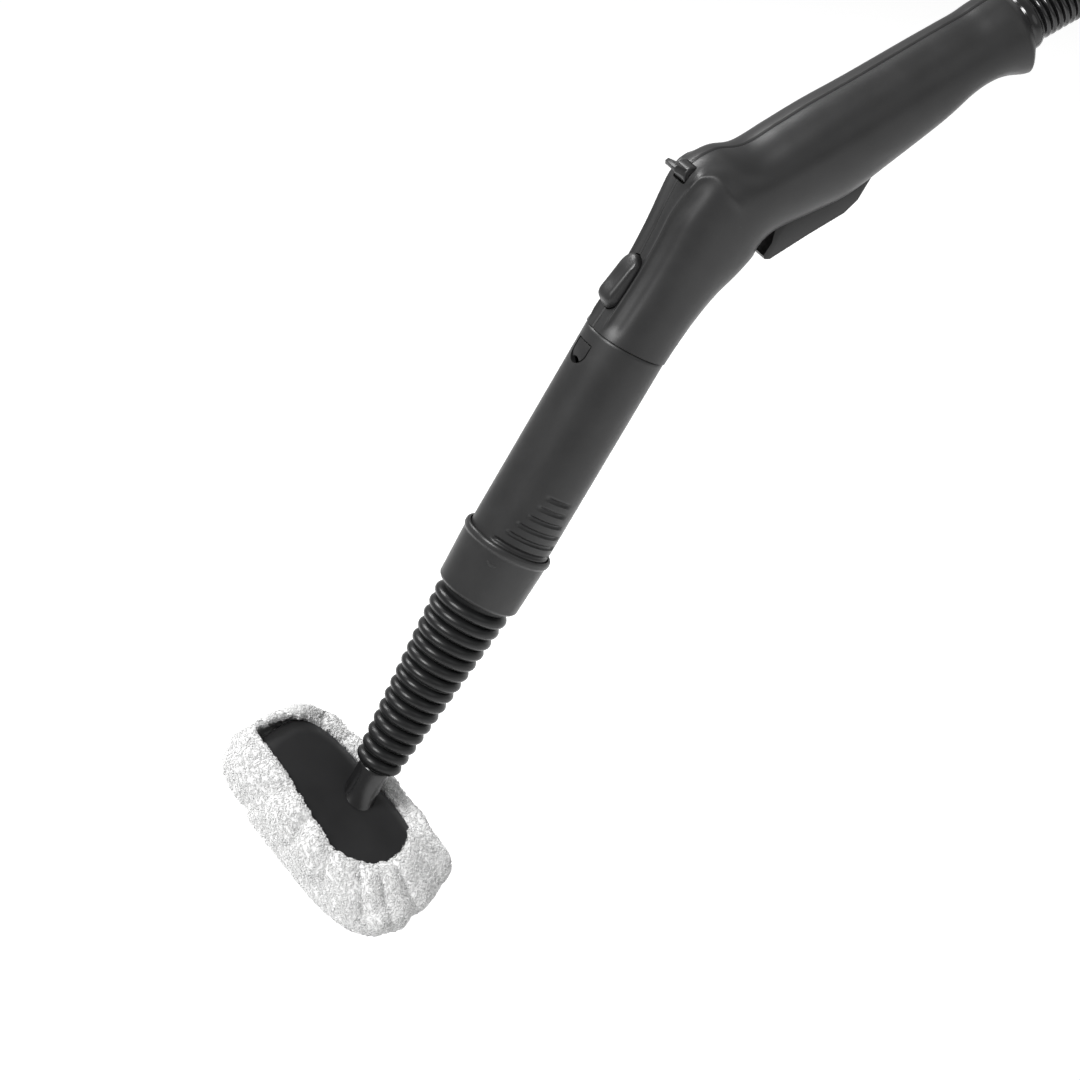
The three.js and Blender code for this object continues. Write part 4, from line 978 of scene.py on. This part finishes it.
def neckProfile(first, last, rows=15):
    # round beads whose radius shrinks evenly down the neck, then back up the bore
    outer = []
    for i in range(first, last):
        crest = neck["top"] + (neck["last"] - neck["top"]) * i / (neck["bumps"] - 1)
        drop = np.linspace(0, neck["pitch"], rows, endpoint=False)
        bulge = np.clip(1 - np.abs((drop - 2.8) / 2.82) ** 2, 0, 1) ** 0.62
        radius = crest - neck["depth"] * (1 - bulge)
        outer.append(np.stack([radius, neck["first"] - i * neck["pitch"] - drop], 1))
    outer = np.concatenate(outer)
    low, high = outer[-1, 1] - 0.2, outer[0, 1]
    outer = np.vstack([outer, [[outer[-1, 0], low]]])

    def bore(z):
        return neck["boreTop"] + (neck["boreEnd"] - neck["boreTop"]) * (neck["first"] - z) / 84

    inner = np.array([(bore(z), z) for z in np.linspace(low, high, (last - first) * 3)])
    return np.vstack([outer, inner])


def buildNeck():
    # the cuff and first beads in one piece, the rest in a second piece
    top = neck["first"] + 2.3
    cuffTop = -tube["length"] - tube["spigot"] - 1
    upper = neckProfile(0, neck["upperBumps"])
    cuff = [(neck["boreTop"], cuffTop), (12, cuffTop), (12, top), (13.9, top)]
    upper = np.vstack([np.array(cuff), upper])
    made = lathe("neckUpper", upper, toolFrame, paint["rubber"], 96)
    crisp(made, 60)

    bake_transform(made)
    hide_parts("neck_upper")
    profile = neckProfile(neck["upperBumps"], neck["bumps"])
    lower = lathe("neckLower", profile, toolFrame, paint["rubber"], 96)
    crisp(lower, 60)
    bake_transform(lower)
    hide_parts("neck_middle", "neck_lower")


buildTube()
buildCollar()
buildCollarMark()
buildNeck()
print("tube, collar and neck made")


# Brush head

def headRing(halfLength, halfWidth, z, across=0.0, along=0.0, count=192):
    # a rounded rectangle: |x/a|^3.4 + |y/b|^3.4 = 1, about the plate's middle
    turn = np.linspace(0, 2 * math.pi, count, endpoint=False)
    c, s = np.cos(turn), np.sin(turn)
    x = np.sign(c) * np.abs(c) ** (2 / 3.4) * halfLength
    y = np.sign(s) * np.abs(s) ** (2 / 3.4) * halfWidth
    return np.stack([head["middle"][0] + along + x, head["middle"][1] + across + y, z + 0 * x], 1)


def loft(name, rings, material, closed=True):
    # rings joined in order; the ends are closed by drawing their points together
    rings = np.array(rings)
    if closed:
        ends = [np.repeat(ring.mean(0)[None], len(ring), 0) for ring in (rings[0], rings[-1])]
        rings = np.concatenate([ends[:1], rings, ends[1:]])
    faces = gridFaces(len(rings), rings.shape[1], False, True)
    piece = buildMesh(name, place(rings.reshape(-1, 3), headFrame), faces, material)
    return crisp(outward(piece))


def buildTopPlate():
    a, b = head["plate"][0] / 2, head["plate"][1] / 2
    low, bevel, shoulder = -head["plateHeight"], -head["bevel"], head["shoulder"]
    far = 24
    outline = [(0, low), (0, bevel), (0.9, bevel + 0.9), (shoulder - 2, -0.7), (shoulder, 0), (far, 0.02),
               (far, low)]
    profile = rounded(outline, 1.1, 6)[:-6]
    rings = [headRing(a - inset, b - inset, z) for inset, z in profile if inset < far - 1.05]
    piece = loft("headPlate", rings, paint["plate"])
    return show(crisp(piece, 40), "head", "plate_plastic", "head_top_plate")


def buildStem():
    # a pipe that widens to a flared foot and is trimmed where it meets the plate
    start = neck["end"] - 0.3
    length = 18
    outline = [(3.5, start), (7, start), (7, start - length * 0.5), (7.15, start - length * 0.68),
               (7.6, start - length * 0.86), (8.5, start - length * 1.05), (8.5, start - length * 2),
               (3.5, start - length * 2)]
    profile = finer(rounded(outline, 1.5, 6), 0.8)
    piece = lathe("headStem", profile, toolFrame, paint["gloss"], 96)
    block = prism("cut", [(-60, -60), (60, -60), (60, 60), (-60, 60)], -80, 0.25, headFrame, "z")
    carve(piece, [block])
    return show(crisp(piece, 35), "head", "gloss_black", "head_stem")


buildTopPlate()
buildStem()
fromCad("head_gasket", 0, paint["seal"], "seal_rubber", "head")
fromCad("head_base_plate", 0.3, paint["plate"], "plate_plastic", "head")
for i in range(4):
    fromCad("head_screw_%d" % (i + 1), 0.15, paint["steel"], "steel", "head")
fromCad("bristle_pad", 0, paint["bristle"], "bristle", "head")
print("head made")


# Terry bonnet

bonnet = dict(slack=5.1, floor=-21.6, wall=4.0, shiftAcross=2, shiftAlong=3, centre=(-7, 3), pleats=15,
              pleatDepth=1.3, lump=1.5, rows=160, columns=360, loops=11000, loopHeight=0.65, loopWidth=0.34)

# The opening from the plate's middle, along and across it: pointed at one end, round at the other.
bonnetOpening = [
    (-46, -9), (-43, 8), (-36, 20), (-24, 26.5), (0, 27.5), (16, 26.5), (26, 20), (31.5, 8), (31.5, -2),
    (26, -12.5), (14, -20), (0, -18.5), (-20, -14.5), (-36, -12.5),
]


def reachOf(outline, turn):
    # how far a closed outline lies from the bonnet's centre in each direction
    away = np.asarray(outline, float) - bonnet["centre"]
    angle = np.arctan2(away[:, 1], away[:, 0])
    return np.interp(turn, angle, np.hypot(away[:, 0], away[:, 1]), period=2 * math.pi)


def smoothClosed(outline, steps=14):
    # a closed cubic curve through the outline's points
    knots = np.array(outline, float)
    t = np.linspace(0, 1, steps, endpoint=False)[:, None]
    made = []
    for i in range(len(knots)):
        a, b, c, d = (knots[(i + k) % len(knots)] for k in range(-1, 3))
        made.append(b + 0.5 * t * (c - a + t * (2 * a - 5 * b + 4 * c - d + t * (3 * (b - c) + d - a))))
    return np.concatenate(made)


def bonnetSurface():
    # the cloth's outside: from inside the hem, over the plate's edge, down the side and across the sole
    turn = np.linspace(0, 2 * math.pi, bonnet["columns"], endpoint=False)
    heading = np.stack([np.cos(turn), np.sin(turn)], 1)
    hem = reachOf(smoothClosed(bonnetOpening), turn)
    a = head["plate"][0] / 2 + bonnet["slack"] + bonnet["wall"]
    b = head["plate"][1] / 2 + bonnet["wall"] + 2.4
    side = headRing(a, b, 0, bonnet["shiftAcross"], bonnet["shiftAlong"], 720)[:, :2] - head["middle"]
    outer = reachOf(side, turn)

    def lobe(degrees, width, size):
        # a soft push outwards round one direction
        away = (np.degrees(turn) - degrees + 180) % 360 - 180
        return size * np.exp(-(away / width) ** 2)

    outer = outer + lobe(26, 7, 3.2) + lobe(212, 9, 2.0) - lobe(238, 6, 3.2) + lobe(325, 12, 1.2)
    # the hem hangs lower along the plate's far side and at its pointed end
    across = heading[:, 1] * hem + bonnet["centre"][1]
    along = heading[:, 0] * hem + bonnet["centre"][0]
    lower = 6.4 * smoothStep(across, 13, 25) + 2.5 * smoothStep(-along, 34, 45)
    # each key: share of the way from the opening to the outer side, height
    keys = np.array([
        (0.02, -0.8), (-0.01, 0.6), (0.0, 2.0), (0.1, 2.9), (0.3, 2.6), (0.55, 1.2), (0.78, -1.4),
        (0.93, -4.6), (1.0, -8.5), (1.01, -12.5), (0.97, -16.5), (0.88, -19.6), (0.75, -21.0),
        *((part, bonnet["floor"]) for part in (0.55, 0.2, -0.5, -1.4, -2.6)),
    ])
    reach = np.concatenate([[0], np.cumsum(np.hypot(np.diff(keys[:, 0]) * 9, np.diff(keys[:, 1])))])
    even = np.linspace(0, reach[-1], bonnet["rows"])
    # each is smoothed by averaging seven neighbours
    share, height = (np.convolve(np.pad(np.interp(even, reach, keys[:, k]), 3, "edge"),
                                 np.ones(7) / 7, "valid") for k in (0, 1))
    centre = np.array(head["middle"]) + bonnet["centre"]
    k = share[:, None]
    radius = np.where(k > 0, hem + (outer - hem) * k, hem * (1 + k / 2.75))
    flat = centre + radius[..., None] * heading
    z = height[:, None] - lower * (1 - smoothStep(k, 0.1, 0.8)) * (height > -16)[:, None]
    return np.concatenate([flat, z[..., None]], -1), share, height


def gridNormals(grid):
    # the cross product of the grid's two directions, turned to point out of the cloth
    down = np.gradient(grid, axis=0)
    roundIt = (np.roll(grid, -1, 1) - np.roll(grid, 1, 1)) / 2
    normal = np.cross(roundIt, down)
    normal /= np.linalg.norm(normal, axis=-1, keepdims=True) + 1e-9
    return -normal


def buildBonnet():
    grid, share, height = bonnetSurface()
    plain = grid.copy()
    normal = gridNormals(grid)
    flat = grid.reshape(-1, 3)
    # pleats gathered by the elastic run out from the hem and fade down the side, evenly by length round it
    edge = grid[int(0.3 * bonnet["rows"])]
    steps = np.linalg.norm(np.roll(edge, -1, 0) - edge, axis=1)
    turn = (2 * math.pi * (np.cumsum(steps) - steps) / steps.sum())[None]
    wander = 1.6 * np.sin(2 * turn + 0.7) + 0.9 * np.sin(5 * turn + 2.1)
    wave = 0.5 * (bonnet["pleats"] * turn + wander + 0.8 * np.sin(share[:, None] * 3))
    pleat = 2 * np.abs(np.sin(wave)) ** 0.75 - 1.3
    gather = (smoothStep(share, 0.03, 0.3) * (1 - smoothStep(-height, 5, 17)))[:, None]
    uneven = 0.75 + 0.2 * np.sin(3 * turn + 1.2) + 0.45 * np.cos(turn - 4.3)  # fullest on the near side
    push = bonnet["pleatDepth"] * gather * uneven * pleat
    # loose cloth sags in big soft lumps on the side, and the sole stays flat
    side = (smoothStep(share, 0.25, 0.9) * (1 - smoothStep(-height, 16, 20.5)))[:, None]
    lumps = waves(flat, 34, 3).reshape(grid.shape[:2]) + 0.55 * waves(flat, 15, 5).reshape(grid.shape[:2])
    push = push + bonnet["lump"] * side * (lumps - 0.25)
    # knobbly pile, with a ragged hem
    fine = waves(flat, 3.1, 8, 22) + 0.7 * waves(flat, 1.9, 9, 22)
    push = push + 0.2 * fine.reshape(grid.shape[:2]) * smoothStep(20.9 + height, -1.0, 0.5)[:, None]
    grid = grid + normal * push[..., None]
    hemward = (1 - smoothStep(share, 0.0, 0.25)) * (height > -2)
    ragged = (0.7 * waves(flat, 7, 12) + 0.5 * waves(flat, 2.4, 13)).reshape(grid.shape[:2])
    middle = np.array([head["middle"][0], head["middle"][1], 0])
    inwards = middle - grid
    inwards[..., 2] = 0
    inwards /= np.linalg.norm(inwards, axis=-1, keepdims=True)
    grid = grid + inwards * (ragged * hemward[:, None])[..., None]
    piece = loft("terryBonnet", list(grid), paint["terry"], False)
    return piece, grid, plain, share


def closeBonnet(piece, grid):
    # the small ring left in the middle of the sole is filled
    last = place(grid[-1], headFrame)
    work = bmesh.new()
    work.from_mesh(piece.data)
    bounds = [edge for edge in work.edges if edge.is_boundary]
    lowest = [edge for edge in bounds
              if all(np.min(np.linalg.norm(last - np.array(v.co), axis=1)) < 2e-5 for v in edge.verts)]
    bmesh.ops.contextual_create(work, geom=lowest)
    bmesh.ops.recalc_face_normals(work, faces=work.faces)
    work.to_mesh(piece.data)
    work.free()


bonnetPiece, bonnetGrid, bonnetPlain, bonnetShare = buildBonnet()
closeBonnet(bonnetPiece, bonnetGrid)


def yarnLoops(name, grid, rowRange, count, seed, stand=1.0):
    # small arches of three-sided yarn scattered evenly by area over rows of the cloth
    rng = np.random.default_rng(seed)
    part = grid[rowRange[0]:rowRange[1]]
    rows, columns = part.shape[:2]
    a, b = part[:-1], np.roll(part, -1, 1)[:-1]
    c = part[1:]
    area = np.linalg.norm(np.cross(b - a, c - a), axis=-1)
    chosen = rng.choice(area.size, count, p=area.ravel() / area.sum())
    r, q = np.divmod(chosen, columns)
    u, v = rng.random((2, count, 1))
    base = a[r, q] + u * (b[r, q] - a[r, q]) + v * (c[r, q] - a[r, q])
    normal = gridNormals(part)[r, q]
    spin = rng.normal(size=(count, 3))
    flat = spin - normal * (spin * normal).sum(1, keepdims=True)
    flat /= np.linalg.norm(flat, axis=1, keepdims=True)
    other = np.cross(normal, flat)
    tall = bonnet["loopHeight"] * stand * rng.uniform(0.6, 1.25, (count, 1))
    wide = rng.uniform(0.3, 0.55, (count, 1))
    lean = rng.uniform(-0.55, 0.55, (count, 1))
    arch = [(-1.0, -0.25), (-1.15, 0.55), (-0.1, 1.0), (1.1, 0.6), (0.9, -0.25)]
    line = np.stack([base + flat * wide * x + normal * tall * z + other * lean * max(z, 0)
                     for x, z in arch], 1)
    heading = np.gradient(line, axis=1)
    heading /= np.linalg.norm(heading, axis=-1, keepdims=True)
    # the ends draw to a point
    thick = bonnet["loopWidth"] / 2 * np.array([0.15, 1, 1, 1, 0.15])[None, :, None]
    ring = []
    for k in range(3):
        turn = 2 * math.pi * k / 3
        out = np.cross(heading, other[:, None])
        ring.append(line + thick * (math.cos(turn) * out + math.sin(turn) * other[:, None]))
    ring = np.stack(ring, 2)
    ring[:, 0], ring[:, -1] = ring[:, 0].mean(1, keepdims=True), ring[:, -1].mean(1, keepdims=True)
    steps = ring.shape[1]
    one = gridFaces(steps, 3, False, True)
    faces = (one[None] + (np.arange(count) * steps * 3)[:, None, None]).reshape(-1, 4)
    piece = buildMesh(name, place(ring.reshape(-1, 3), headFrame), faces, paint["yarn"])
    return outward(piece, 1e-7)


def rowAt(share):
    return int(share * bonnet["rows"])


def buildElastic():
    # a round elastic cord drawn through the hem, just inside the cloth
    row = int(np.argmin(np.abs(bonnetShare[:rowAt(0.3)] - 0.14)))
    middle = (bonnetPlain[row] - 2.5 * gridNormals(bonnetPlain)[row])[::2]
    heading = np.roll(middle, -1, 0) - np.roll(middle, 1, 0)
    out = np.cross(heading, (0, 0, 1))
    out /= np.linalg.norm(out, axis=1, keepdims=True)
    turn = np.linspace(0, 2 * math.pi, 12, endpoint=False)
    up = np.array((0, 0, 1.0))
    grid = middle[:, None] + 0.95 * (np.cos(turn)[:, None] * out[:, None] + np.sin(turn)[:, None] * up)
    faces = gridFaces(len(grid), 12, True, True)
    piece = outward(buildMesh("hemElastic", place(grid.reshape(-1, 3), headFrame), faces, paint["elastic"]))
    return show(crisp(piece, 60), "head", "elastic", "bonnet_elastic")


buildElastic()

loopPieces = [
    yarnLoops("pileHem", bonnetGrid, (0, rowAt(0.36)), bonnet["loops"], 21),
    yarnLoops("pileSide", bonnetGrid, (rowAt(0.34), rowAt(0.72)), bonnet["loops"], 22),
    yarnLoops("pileSole", bonnetGrid, (rowAt(0.7), bonnet["rows"]), bonnet["loops"], 23, 0.55),
]
for piece in loopPieces:
    show(piece, "head", "terry")
wall = bonnetPiece.modifiers.new("wall", "SOLIDIFY")
wall.thickness = 1.4 * mm
wall.offset = -1
settle(bonnetPiece)
show(bonnetPiece, "head", "terry", "terry_bonnet")
print("bonnet made")


# Floor and light

studio = dict(floor=-0.6802, tone=0.92, world=0.4, key=50, fill=3, rim=24, glow=0.3)


def addLight(name, spot, aim, size, power, colour=(1, 1, 1)):
    lamp = bpy.data.lights.new(name, "AREA")
    lamp.shape = "DISK"
    lamp.size = size
    lamp.energy = power
    lamp.color = colour
    holder = bpy.data.objects.new(name, lamp)
    holder.location = spot
    holder.rotation_euler = (Vector(aim) - Vector(spot)).to_track_quat("-Z", "Y").to_euler()
    bpy.context.scene.collection.objects.link(holder)


def addStudio():
    edge = 6.0
    corners = np.array([(-edge, -edge), (edge, -edge), (edge, edge), (-edge, edge)])
    points = np.column_stack([corners, np.full(4, studio["floor"])])
    made, net, surface, where = newMaterial("studioFloor")
    shade = net.add("ShaderNodeTexNoise", Scale=3.0, Detail=2.0)
    net.link(where, shade.inputs["Vector"])
    tone = studio["tone"]
    net.link(mixColour(net, shade.outputs[0], (tone - 0.01,) * 3, (tone,) * 3), surface.inputs["Base Color"])
    surface.inputs["Roughness"].default_value = 0.9
    surface.inputs["Specular IOR Level"].default_value = 0.1
    surface.inputs["Emission Color"].default_value = (1, 1, 1, 1)
    surface.inputs["Emission Strength"].default_value = studio["glow"]
    floor = buildMesh("floor", points, np.array([[0, 1, 2, 3]]), made)
    world = bpy.data.worlds.new("studio")
    world.use_nodes = True
    back = world.node_tree.nodes["Background"]
    back.inputs["Color"].default_value = (1, 1, 1, 1)
    back.inputs["Strength"].default_value = studio["world"]
    bpy.context.scene.world = world
    addLight("key", (-1.3, -0.5, 1.5), (-0.1, 0, -0.1), 0.9, studio["key"])
    addLight("fill", (0.9, -1.5, 0.9), (-0.05, 0, -0.1), 1.3, studio["fill"])
    addLight("rim", (-0.6, 1.4, 1.3), (-0.1, 0, -0.05), 0.8, studio["rim"])
    bpy.context.scene.view_settings.view_transform = "Standard"


addStudio()
print("studio made")
